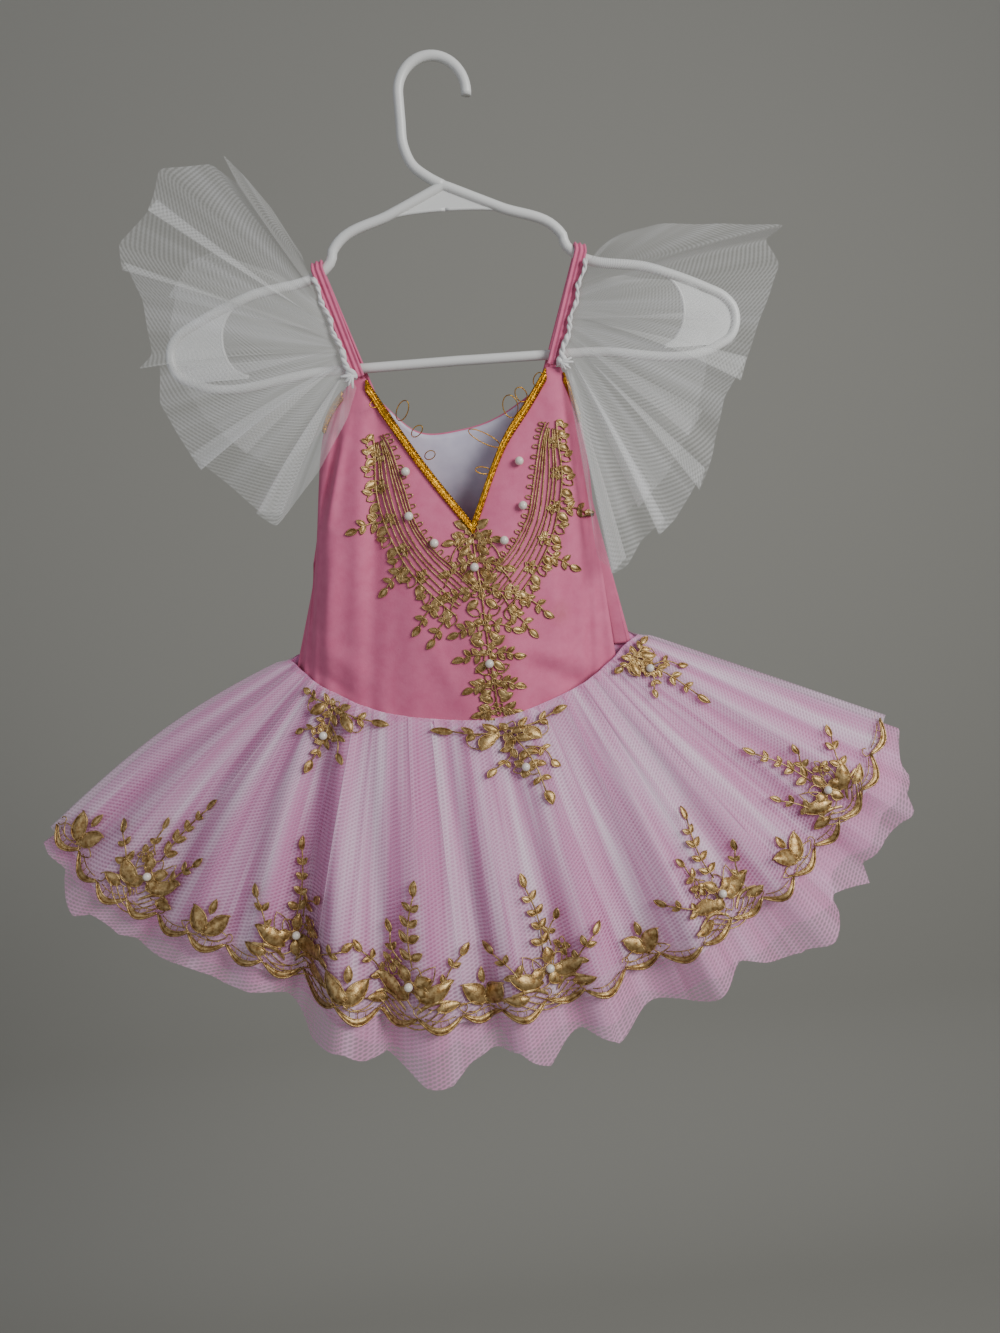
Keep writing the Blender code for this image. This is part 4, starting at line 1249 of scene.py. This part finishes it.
@dataclass
class HemLace:
    """Corded scallop lace on the top layer's hem, with floral sprays and heart-shaped links."""

    scallop_depth: float = 4.0
    notch_up: float = 6.0

    def scallops(self, work: Needlework, length: float) -> None:
        """Draw the foot: satin-filled arcs with two inner cords and small loops between them."""
        pitch = (length - 8) / SCALLOPS
        for k in range(SCALLOPS):
            low = 4 + k * pitch + work.rng.uniform(-0.8, 0.8)
            a, b = (low, self.notch_up), (low + pitch, self.notch_up + work.rng.uniform(-1, 1))
            deep = self.notch_up + self.scallop_depth
            outer, inner = arc(a, b, -deep, 11), arc((a[0] + 2, a[1]), (b[0] - 2, b[1]), -deep + 4.6, 11)
            work.fill(outer, inner, 0.9)
            work.cord(outer, 0.8)
            work.cord(inner, 0.55)
            work.cord(arc((a[0] + 5, a[1] + 1), (b[0] - 5, b[1] + 1), -deep + 8.5, 8), 0.45)
            for share in (0.3, 0.5, 0.7):
                foot = inner[int(share * 10)]
                work.cord(np.array([foot, foot + (0, 4.5)]), 0.35)
            work.scroll((a[0], a[1] + 1), 80, 4.5, 1 if k % 2 else -1)

    def spray(self, work: Needlework, along: float, lean: float) -> None:
        """Draw one spray: a big flower with a pearl over nested arcs, and sprigs above and beside it."""
        hand = 1 if lean >= 0 else -1
        for rise in (13, 19, 25):
            work.cord(arc((along - rise * 1.1, 13), (along + rise * 1.1, 13), -rise * 0.62, 12), 0.6)
        for side in (-1, 1):
            work.fill(
                arc((along + side * 4, 8), (along + side * 31, 15), side * 5, 9),
                arc((along + side * 4, 11), (along + side * 29, 18), side * 5, 9),
                0.8,
            )
            work.leaf((along + side * 6, 19), 90 - side * 62, 27, 12)
            work.leaf((along + side * 5, 24), 90 - side * 34, 24, 11, filled=False)
            work.sprig((along + side * 22, 24), 90 - side * (38 - lean * side), 30, 2, 8.5, side * 3)
            work.scroll((along + side * 12, 14), 90 - side * 30, 8, -side)
            work.leaf((along + side * 18, 13), 90 - side * 84, 17, 7.5)
        work.flower((along, 28), 15.5, 7, 20 * hand)
        work.flower((along - hand * 15, 42), 7.5, 5)
        work.sprig((along + hand * 2, 42), 90 - lean, 52, 4, 9.5, 4 * hand)
        work.sprig((along - hand * 6, 44), 90 + hand * 26, 22, 1, 8)
        work.pearl(along, 28)

    def link(self, work: Needlework, along: float) -> None:
        """Draw a heart of two looped leaves with a bud over it."""
        for side in (-1, 1):
            work.leaf((along, 9), 90 - side * 40, 24, 12.5)
            work.leaf((along + side * 3, 8), 90 - side * 78, 17, 8, filled=False)
            work.cord(arc((along + side * 2, 12), (along + side * 17, 27), side * 6, 8), 0.5)
        work.leaf((along, 24), 90, 12, 6)
        work.flower((along, 13), 5.5, 5)

    def build(self, maker: Maker, front: bool) -> None:
        """Make the front's or the back's lace."""
        word = "front" if front else "back"
        sprays, links = (FRONT_SPRAYS, FRONT_LINKS) if front else (BACK_SPRAYS, BACK_LINKS)
        work = Needlework(skirt_place(front), random.Random(11 if front else 12), 1.5)
        self.scallops(work, HEM_SPREAD)
        for k, share in enumerate(sprays):
            self.spray(work, share * HEM_SPREAD, (14, -9, 3, -4, 12, -12)[k])
        for share in links:
            self.link(work, share * HEM_SPREAD)
        lace = maker.piece(
            f"hem_lace_{word}_cords", *work.parts().all(), GOLD_LACE, "gold_lace", (f"hem_lace_{word}",)
        )
        maker.piece(f"hem_pearls_{word}", *work.pearl_parts().all(), PEARL, "gold_lace")
        log.info("%s has %d cords and %d fills", lace.name, len(work.cords), len(work.fills))


@dataclass
class WaistLace:
    """A small corded applique that hangs from the waist seam."""

    name: str
    around: float
    lean: float
    drop: float
    top: float
    pearl: tuple[float, float]

    def build(self, maker: Maker) -> None:
        """Make the applique and its pearl."""
        work = Needlework(waist_place(self.around), random.Random(hash_of(self.name)), 1.6)
        half = self.top / 2
        for side in (-1, 1):
            work.sprig((0, -5), 0 if side > 0 else 180, half, 2, 8.5, -2 * side)
            work.leaf((side * half * 0.3, -8), -90 + side * 38, 15, 8)
            work.scroll((side * half * 0.55, -8), -90 + side * 20, 7, side)
        work.sprig((0, -8), -90 + self.lean, self.drop - 12, 4, 9.5, 3)
        work.sprig((self.lean * 0.3 - 3, -16), -128, 24, 2, 7)
        work.sprig((self.lean * 0.3 + 3, -22), -52, 22, 1, 7)
        work.flower((0, -8), 8, 6)
        work.flower(self.pearl, 8.5, 6, 15)
        work.pearl(*self.pearl)
        maker.piece(self.name + "_cords", *work.parts().all(), GOLD_LACE, "gold_lace", (self.name,))
        maker.piece(self.name + "_pearl", *work.pearl_parts().all(), PEARL, "gold_lace")


def hash_of(text: str) -> int:
    """The same small number for the same text."""
    return sum((i + 1) * ord(letter) for i, letter in enumerate(text))


WAIST_LACES = (
    WaistLace("waist_lace_left", 0.275, -8, 62, 60, (-3, -34)),
    WaistLace("waist_lace_centre", 0.565, 14, 66, 56, (5, -38)),
    WaistLace("waist_lace_right", 0.905, 4, 70, 34, (-2, -22)),
)


class LobePoint(NamedTuple):
    """A point of a lobe's or column's middle line in the front's elevation, with its width."""

    x: float
    z: float
    width: float


LOBE = (
    LobePoint(-65, -256, 8),
    LobePoint(-62, -272, 17),
    LobePoint(-60, -300, 27),
    LobePoint(-53, -330, 28),
    LobePoint(-40, -355, 31),
    LobePoint(-22, -376, 34),
    LobePoint(-8, -390, 32),
)
COLUMN = ((0, -338), (1, -356), (3, -378), (4, -402), (5, -424), (7, -446), (8, -468))
LACE_AXIS_X = 1.0
BODICE_PEARLS = (
    (-45.1, -287.9),
    (-45.2, -320.3),
    (-28.7, -341.3),
    (39.0, -286.4),
    (38.7, -318.8),
    (22.9, -343.2),
    (-0.8, -361.2),
    (3.9, -432.2),
)


@dataclass
class BodiceLace:
    """The applique on the front: two lobes beside the neck and a column down to the waist."""

    strands: int = 5

    def lobe(self, work: Needlework, side: Side) -> None:
        """Draw a lobe: looped petals outside, curved strands inside and a looped inner edge."""
        line = Curve([(i, *point) for i, point in enumerate(LOBE)])(np.linspace(0, len(LOBE) - 1, 46))
        middle, width = line[:, :2].copy(), line[:, 2]
        if side is Side.RIGHT:
            middle[:, 0] = 2 * LACE_AXIS_X - middle[:, 0]
        along = np.gradient(middle, axis=0)
        along /= np.linalg.norm(along, axis=1, keepdims=True)
        out = np.stack([along[:, 1], -along[:, 0]], axis=1) * (1 if side is Side.LEFT else -1)
        if out[10, 0] * side.value < 0:
            out = -out
        for k in range(self.strands):
            offset = -0.30 + 0.115 * k
            wander = 0.5 * np.sin(np.linspace(0, 9, 46) + 2 * k)[:, None]
            work.cord(middle[4:44] + out[4:44] * (offset * width[4:44, None] + wander[4:44]), 0.55)
        inner = middle - out * width[:, None] * 0.46
        for i in range(3, 44, 2):
            inward = math.degrees(math.atan2(*(-out[i])[::-1]))
            work.cord(inner[i] + turned(LOOP * 2.4, inward), 0.45, closed=True)
        work.cord(inner[2:45], 0.6)
        work.cord(inner[2:45] + out[2:45] * 2.2, 0.45)
        outer = middle + out * width[:, None] * 0.30
        work.cord(outer[1:45], 0.7)
        for i in range(1, 45, 2):
            degrees = math.degrees(math.atan2(out[i][1], out[i][0]))
            reach = 0.5 + 0.5 * min(1, width[i] / 27)
            work.leaf(outer[i], degrees - 24 * side.value, 9.5 * reach, 6.0 * reach, filled=i % 4 == 1)
            if i % 4 == 3:
                work.leaf(outer[i] + out[i] * 3.5, degrees + 30 * side.value, 7.5 * reach, 4.4 * reach)
        for i in range(8, 42, 6):
            work.flower(middle[i] + out[i] * width[i] * 0.16, 5.2, 5, i * 20)
        for i in (20, 29, 38, 43):
            spread = work.rng.uniform(-10, 10)
            degrees = math.degrees(math.atan2(out[i][1], out[i][0])) + spread
            work.sprig(outer[i] + out[i] * 2, degrees, 17 + i * 0.12, 2, 7.5, 2 * side.value)

    def column(self, work: Needlework) -> None:
        """Draw the column: flowers down its middle with leaves and sprigs to both sides."""
        for k, (x, z) in enumerate(COLUMN):
            half = (10, 17, 21, 17, 15, 12, 7)[k]
            work.flower((x, z), 7.6 if k < 6 else 5.5, 6, 17 * k)
            for sign in (-1, 1):
                work.sprig((x + sign * 4, z - 2), 90 - sign * (98 + 8 * (k % 2)), half, 2, 7.6, sign * 2)
                work.leaf((x + sign * 3, z + 6), 90 - sign * 62, 11, 6, filled=k % 2 == 0)
                work.leaf((x + sign * 3, z - 7), 90 - sign * 132, 11, 5.6)
        spine = np.array(COLUMN, float)
        work.cord(Curve([(i, *p) for i, p in enumerate(spine)])(np.linspace(0, 6, 40)), 0.7)
        for side in (-1, 1):
            for z, reach in ((-352, 19), (-368, 25), (-386, 22)):
                work.cord(arc((LACE_AXIS_X, z + 12), (LACE_AXIS_X + side * reach, z - 6), side * 5, 9), 0.6)

    def build(self, maker: Maker) -> None:
        """Make the lace and its pearls."""
        work = Needlework(bodice_place(), random.Random(5), 0.3)
        for side in Side:
            self.lobe(work, side)
        self.column(work)
        for x, z in BODICE_PEARLS:
            work.pearl(x, z, 3.3)
        maker.piece("bodice_lace_cords", *work.parts().all(), GOLD_LACE, "gold_lace", ("bodice_lace",))
        maker.piece("bodice_pearls", *work.pearl_parts().all(), PEARL, "gold_lace")


LOOP = np.stack(
    [1 - np.cos(np.linspace(0, 2 * np.pi, 9)[:-1]), 0.6 * np.sin(np.linspace(0, 2 * np.pi, 9)[:-1])], axis=1
)


@dataclass
class Braid:
    """Gold braid along the front's upper edge: three strands plaited into loops."""

    name: str
    start: float
    end: float
    length: float
    width: float = 8.0
    pitch: float = 8.5
    strand: float = 0.85

    def build(self, maker: Maker) -> None:
        """Make the plait, with its strands passing over and under each other."""
        turns = self.length / self.pitch
        t = np.linspace(0, 1, int(turns * 18))
        place, parts = edge_place(), Parts()
        for strand in range(3):
            phase = 2 * np.pi * (turns * t + strand / 3)
            slip = 0.30 * self.pitch * np.sin(2 * phase)
            along = np.clip(t + slip / self.length, 0, 1)
            across = self.start + (self.end - self.start) * along
            below = 0.8 + self.width / 2 + self.width / 2 * np.sin(phase)
            points, normals = place(np.stack([across, below], axis=1))
            height = 1.4 + 0.9 * np.cos(2 * phase)
            parts.tube(points + normals * height[:, None], self.strand, 6, side=normals)
            edge = 0.8 + self.width / 2 + (self.width / 2 + 0.5) * np.sin(phase + 0.5)
            points, normals = place(np.stack([across, edge], axis=1))
            parts.tube(points + normals * (height[:, None] * 0.6 + 1.2), self.strand * 0.45, 5, side=normals)
        maker.piece(self.name + "_gold", *parts.all(), GOLD_BRAID, "gold_braid", (self.name,))


class Stray(NamedTuple):
    """A wire loop that stands out of the neck braid: place, way up, length and width."""

    x: float
    z: float
    degrees: float
    length: float
    width: float


STRAYS = (
    Stray(-47, -250, 62, 15, 8),
    Stray(-38, -262, 40, 10, 6),
    Stray(-30, -278, 20, 8, 6),
    Stray(-60, -236, 200, 7, 5),
    Stray(37, -254, 100, 16, 11),
    Stray(47, -243, 122, 11, 8),
    Stray(26, -274, 150, 26, 7),
    Stray(18, -292, 168, 12, 5),
    Stray(55, -232, 60, 9, 6),
)


def build_strays(maker: Maker) -> None:
    """Make the wire loops that stand out of the neck braid."""
    parts = Parts()
    turn = np.linspace(0, 2 * np.pi, 18)[:-1]
    for stray in STRAYS:
        plan = np.stack([stray.length / 2 * (1 - np.cos(turn)), stray.width / 2 * np.sin(turn)], axis=1)
        plan = turned(plan, stray.degrees, (stray.x, stray.z))
        depth = -20 - 6 * np.sin(turn / 2)
        parts.tube(stack(plan[:, 0], depth, plan[:, 1]), 0.4, 5, closed=True)
    maker.piece("neck_stray_loops", *parts.all(), GOLD_BRAID, "gold_braid")


@dataclass
class Bodice:
    """The knit front and back, and the lining that shows inside the back neck."""

    wall: float = 1.2
    columns: int = 230
    rows: int = 150

    def build(self, maker: Maker) -> None:
        """Make the three pieces of cloth."""
        for name, surface, flip, finish in (
            ("bodice_front", front_panel, False, FRONT_KNIT),
            ("bodice_back", back_panel, True, KNIT),
        ):
            columns, rows = (self.columns, self.rows) if name == "bodice_front" else (110, 60)
            across, up = np.meshgrid(np.linspace(0, 1, columns), np.linspace(0, 1, rows))
            points = surface(across, up)
            if flip:
                points, across, up = points[:, ::-1], across[:, ::-1], up[:, ::-1]
            flat = np.stack([across * 0.25, up * 0.23], axis=-1)
            made = maker.grid(name + "_knit", points, flat, finish, "pink_knit", (name,))
            maker.wall(made, self.wall)
        across, down = np.meshgrid(np.linspace(*LINING_ACROSS, 40), np.linspace(0, 1, 24))
        length = np.linalg.norm(back_panel(across, 1 + 0 * across) - back_panel(across, 0 * across), axis=-1)
        points = back_panel(across, 1 - (1.2 + LINING_DEPTH * down) / length)
        points[..., 1] -= 2.0 + 0.8 * np.sin(8 * np.pi * across) * np.sin(np.pi * down)
        flat = np.stack([across, down], axis=-1) * 0.1
        made = maker.grid("back_lining_cloth", points, flat, LINING, "lining", ("back_lining",))
        maker.wall(made, 0.6)


@dataclass
class Strap:
    """A folded band of knit over the hanger's arm."""

    side: Side
    wall: float = 2.0
    crease: float = 0.7

    def build(self, maker: Maker) -> None:
        """Make the band, creased along its length."""
        path = strap_line(self.side)
        across = np.array([1, 0, -self.side.value * STRAP_SLANT])
        across /= np.linalg.norm(across)
        along = np.gradient(path, axis=0)
        along /= np.linalg.norm(along, axis=1, keepdims=True)
        out = np.cross(along, across)
        share = np.linspace(-0.5, 0.5, 17)
        ridge = self.crease * (np.cos(2 * np.pi * 2.5 * share) - 0.8 * (2 * share) ** 4)
        middle = path[:, None] + across * (STRAP_WIDTH * share)[None, :, None]
        shells = [middle + out[:, None] * (self.wall / 2 + ridge)[None, :, None] * sign for sign in (1, -1)]
        rings = np.concatenate([shells[0], shells[1][:, ::-1]], axis=1)
        faces = grid_faces(len(path), 34, closed=True)
        ends = [np.array([i, i + 1, 32 - i, 33 - i]) + r * 34 for r in (0, len(path) - 1) for i in range(16)]
        name = "strap_" + self.side.word
        made = maker.piece(
            name + "_knit", rings.reshape(-1, 3), np.concatenate([faces, ends]), KNIT, "pink_knit", (name,),
            np.zeros((len(path) * 34, 2)),
        )  # fmt: skip


@dataclass
class Fan:
    """One layer of a sleeve's net, fanned out from the strap and folded over itself."""

    name: str
    side: Side
    rim: tuple[Rim, ...]
    replaces: tuple[str, ...] = ()
    columns: int = 340
    rows: int = 26
    cut_width: float = 0.60
    cut_length: float = 0.12

    def build(self, maker: Maker) -> None:
        """Make the layer: flat stretches of net between fold lines, from the gathers to the cut edge."""
        table = np.array([list(point) for point in self.rim], float)
        steps = np.linalg.norm(np.diff(table[:, 1:], axis=0), axis=1)
        reach = np.concatenate([[0], np.cumsum(steps)])
        along = np.linspace(0, reach[-1], self.columns)
        rim = np.stack([np.interp(along, reach, column) for column in table.T], axis=1)
        for _ in range(2):
            rim[1:-1] = (rim[:-2] + 2 * rim[1:-1] + rim[2:]) / 4
        out = np.linspace(0, 1, self.rows)[:, None] ** 0.9
        gather = gather_line(self.side, rim[:, 0])
        points = gather * (1 - out[..., None]) + rim[:, 1:] * out[..., None]
        ripple = 1.5 * np.sin(along / 13 + 1.3 * np.sin(along / 31)) + 0.8 * np.sin(along / 5.7)
        points[..., 1] += out**2 * ripple - 7 * np.sin(np.pi * out)
        points[..., 2] += 2.2 * np.sin(np.pi * out) * np.sin(along / 19)
        flat = np.stack(np.broadcast_arrays(along / reach[-1] * self.cut_width, out * self.cut_length), axis=-1)
        made = maker.grid(self.name, points, flat, WHITE_TULLE, "white_tulle", self.replaces)


@dataclass
class Binding:
    """Rolled white net along a strap's outer edge, over the sleeve's gathers."""

    side: Side
    radius: float = 2.0
    twists: float = 6.0

    def build(self, maker: Maker) -> None:
        """Make the twisted roll and the tuft of gathers at its foot."""
        share = np.linspace(-0.02, 1.03, 90)
        line = gather_line(self.side, share)
        swell = 1 + 0.22 * np.sin(2 * np.pi * 5.3 * share) + 0.16 * np.sin(2 * np.pi * 9.1 * share + 1)
        swell = swell * (0.72 + 0.55 * np.clip((share - 0.62) / 0.4, 0, 1))
        line = line + np.array([-self.side.value * 1.2, -(STRAP_WALL / 2 + self.radius + 0.4), 0])
        line[:, 0] += 0.9 * np.sin(2 * np.pi * 3.1 * share)
        parts = Parts()
        for lobe in (0, math.pi):
            turn = 2 * np.pi * self.twists * share + lobe
            reach = self.radius * 0.5 * swell
            strand = line + np.stack([reach * np.cos(turn), reach * np.sin(turn), 0 * turn], axis=1)
            parts.tube(strand, self.radius * 0.72 * swell, 9)
        foot, rng = line[-1], random.Random(3 + self.side.value)
        for k in range(9):
            degrees = -90 + self.side.value * (10 + 12 * k) + rng.uniform(-8, 8)
            way = np.array([math.cos(math.radians(degrees)), -0.25, math.sin(math.radians(degrees))])
            reach = np.linspace(0, rng.uniform(7, 12), 7)[:, None]
            curl = np.array([[0, -1.6, 0]]) * np.sin(np.linspace(0, math.pi, 7))[:, None]
            parts.tube(foot - way * 3 + way * reach + curl, np.linspace(1.5, 0.7, 7), 6)
        name = "sleeve_binding_" + self.side.word
        maker.piece(name + "_net", *parts.all(), WHITE_ROLL, "white_tulle", (name,))


@dataclass
class Hanger:
    """The moulded hanger: one round tube with flat webs in its corners."""

    sides: int = 20
    web: float = 2.4

    def build(self, maker: Maker) -> None:
        """Make the hook, the loop of arms and bar, and the webs."""
        parts = Parts()
        turn = np.radians(np.linspace(-8, 180, 30))
        hook = stack(-2.5 + 24.5 * np.cos(turn), 0, -20.8 + 24.5 * np.sin(turn))
        stem = rounded([(-27, -20.8), (-27, -38), (-26.6, -55), (-21, -69), (-11, -77.5), (0, -84)], 24)
        stem = stack(stem[:, 0], 0, stem[:, 1])
        parts.tube(np.concatenate([hook, stem[1:]]), TUBE_RADIUS, self.sides)
        right = rounded(ARM, 110)
        loop = np.concatenate([right, (right * (-1, 1))[-2:0:-1]])
        parts.tube(stack(loop[:, 0], 0, loop[:, 1]), TUBE_RADIUS, self.sides, closed=True)
        for sign in (-1, 1):
            self.plate(parts, rounded(GUSSET_OUTER, 26) * (sign, 1), rounded(GUSSET_INNER, 26) * (sign, 1))
            self.plate(parts, rounded(NECK_TOP, 12) * (sign, 1), rounded(NECK_LOW, 12) * (sign, 1))
        maker.piece("hanger_tube", *parts.all(), PLASTIC, "white_plastic", ("hanger",))

    def plate(self, parts: Parts, outer: Points, inner: Points) -> None:
        """Add a flat web between two lines, with a rounded bead along its inner edge."""
        share = np.linspace(0, 1, 5)[None, :, None]
        flat = outer[:, None] * (1 - share) + inner[:, None] * share
        for y in (-self.web / 2, self.web / 2):
            parts.add(stack(flat[..., 0], y, flat[..., 1]), grid_faces(*flat.shape[:2]))
        parts.tube(stack(inner[:, 0], 0, inner[:, 1]), self.web * 0.62, 8)


ARM = (
    (0, -84),
    (41, -102),
    (80.5, -118.8),
    (84.8, -124),
    (86.4, -130.6),
    (90.6, -135.2),
    (150, -152),
    (190, -168.5),
    (203, -175.5),
    (210, -184),
    (211.5, -194),
    (207, -205),
    (197, -210.8),
    (100, -208.8),
    (0, -208),
)
GUSSET_OUTER = (
    (146, -151),
    (170, -160),
    (190, -168.5),
    (203, -176),
    (210, -186),
    (210, -198),
    (202, -208),
    (180, -210),
    (156, -209.8),
)
GUSSET_INNER = (
    (146, -151.5),
    (158, -156),
    (167, -164),
    (172, -174),
    (173, -183),
    (172, -192),
    (169, -199),
    (164, -205),
    (156, -209),
)
NECK_TOP = ((0, -84), (14, -90), (28, -96.5), (43, -103))
NECK_LOW = ((0, -100.5), (14, -100.8), (28, -101.6), (43, -103.4))


def rounded(outline: Sequence[Sequence[float]], count: int) -> Points:
    """A smooth line of count points through an outline's points."""
    points = np.array(outline, float)
    reach = np.concatenate([[0], np.cumsum(np.linalg.norm(np.diff(points, axis=0), axis=1))])
    return Curve(np.column_stack([reach, points]))(np.linspace(0, reach[-1], count))


# --- Studio -------------------------------------------------------------------------------------


@dataclass
class Studio:
    """Floor, sweep, light and the camera at the photo's place.

    The hanger hangs 3.3 degrees askew in the photo, and the camera is turned by that instead.
    """

    camera_at: tuple[float, float, float] = (6.65, -777.97, -314.67)
    pitch: float = 9.2
    yaw: float = 2.4
    roll: float = 1.16
    tilt: float = 3.3
    photo_size: tuple[int, int] = (1000, 1333)
    focal_pixels: float = 1000.0
    wall_y: float = 2.0
    floor_z: float = -2.35

    def camera(self) -> None:
        """Make the camera."""
        pitch, yaw, roll, tilt = map(math.radians, (self.pitch, self.yaw, self.roll, self.tilt))
        ahead = Vector((math.sin(yaw) * math.cos(pitch), math.cos(yaw) * math.cos(pitch), -math.sin(pitch)))
        level = ahead.cross(Vector((0, 0, 1))).normalized()
        top = level.cross(ahead)
        right = level * math.cos(roll) - top * math.sin(roll)
        up = level * math.sin(roll) + top * math.cos(roll)
        upright = Matrix.Rotation(tilt, 4, "Y")
        data = bpy.data.cameras.new("photo camera")
        data.sensor_fit = "AUTO"
        data.sensor_width = 36.0
        data.lens = 36.0 * self.focal_pixels / max(self.photo_size)
        camera = bpy.data.objects.new("photo camera", data)
        axes = Matrix((right, up, -ahead)).transposed().to_4x4()
        camera.matrix_world = upright @ Matrix.Translation(Vector(self.camera_at) * MM) @ axes
        bpy.context.scene.collection.objects.link(camera)
        bpy.context.scene.camera = camera

    def sweep(self) -> None:
        """Make a pale floor that curves up into a pale wall, far behind the dress."""
        profile = [(-4.0, self.floor_z), (self.wall_y - 0.6, self.floor_z)]
        for degrees in range(0, 91, 6):
            turn = math.radians(degrees)
            profile.append(
                (self.wall_y - 0.5 + 0.5 * math.sin(turn), self.floor_z + 0.5 - 0.5 * math.cos(turn))
            )
        profile.append((self.wall_y, 2.6))
        points = [(x, y, z) for y, z in profile for x in (-5.0, 5.0)]
        mesh = bpy.data.meshes.new("floor")
        mesh.from_pydata(points, [], grid_faces(len(profile), 2).tolist())
        mesh.shade_smooth()
        floor = bpy.data.objects.new("floor", mesh)
        material, _, shader = start_material("matt grey studio paint")
        set_inputs(shader, base_color=linear("#B9B7AE"), roughness=0.9)
        mesh.materials.append(material)
        bpy.context.scene.collection.objects.link(floor)

    def light(
        self, name: str, at: Sequence[float], aim: Sequence[float], size: float, watts: float, colour: str
    ) -> None:
        """Make one soft square light."""
        data = bpy.data.lights.new(name, "AREA")
        data.size, data.energy = size, watts
        data.color = linear(colour)[:3]
        made = bpy.data.objects.new(name, data)
        made.location = at
        made.rotation_euler = (Vector(aim) - Vector(at)).to_track_quat("-Z", "Y").to_euler()
        bpy.context.scene.collection.objects.link(made)

    def build(self) -> None:
        """Make the studio."""
        self.camera()
        self.sweep()
        centre = (0.0, 0.0, -0.42)
        self.light("window", (1.35, -1.25, 0.35), centre, 0.9, 34, "#FFFFFF")
        self.light("fill", (-1.4, -1.6, -0.1), centre, 1.6, 7, "#EEF2FF")
        world = bpy.data.worlds.new("room")
        world.use_nodes = True
        world.node_tree.nodes["Background"].inputs[0].default_value = linear("#C9CCD2")
        world.node_tree.nodes["Background"].inputs[1].default_value = 0.35
        bpy.context.scene.world = world


def main() -> None:
    """Build the dress and the studio."""
    logging.basicConfig(level=logging.INFO, format="%(name)s: %(message)s")
    maker = Maker()
    Hanger().build(maker)
    Bodice().build(maker)
    Skirt().build(maker)
    for side in Side:
        Strap(side).build(maker)
        Binding(side).build(maker)
    for side in Side:
        Fan(f"sleeve_{side.word}_net", side, RIMS[side], (f"sleeve_{side.word}",)).build(maker)
        Fan(f"sleeve_{side.word}_net_over", side, OVER_RIMS[side], cut_width=0.38, cut_length=0.10).build(maker)
    Braid("neck_braid", 0.312, 0.728, 265).build(maker)
    Braid("armhole_braid_left", 0.195, 0.262, 34, 6.0).build(maker)
    Braid("armhole_braid_right", 0.768, 0.835, 34, 6.0).build(maker)
    build_strays(maker)
    BodiceLace().build(maker)
    for front in (True, False):
        HemLace().build(maker, front)
    for lace in WAIST_LACES:
        lace.build(maker)
    Studio().build()
    log.info("about %d triangles in all", maker.faces)


if __name__ == "__main__":
    main()
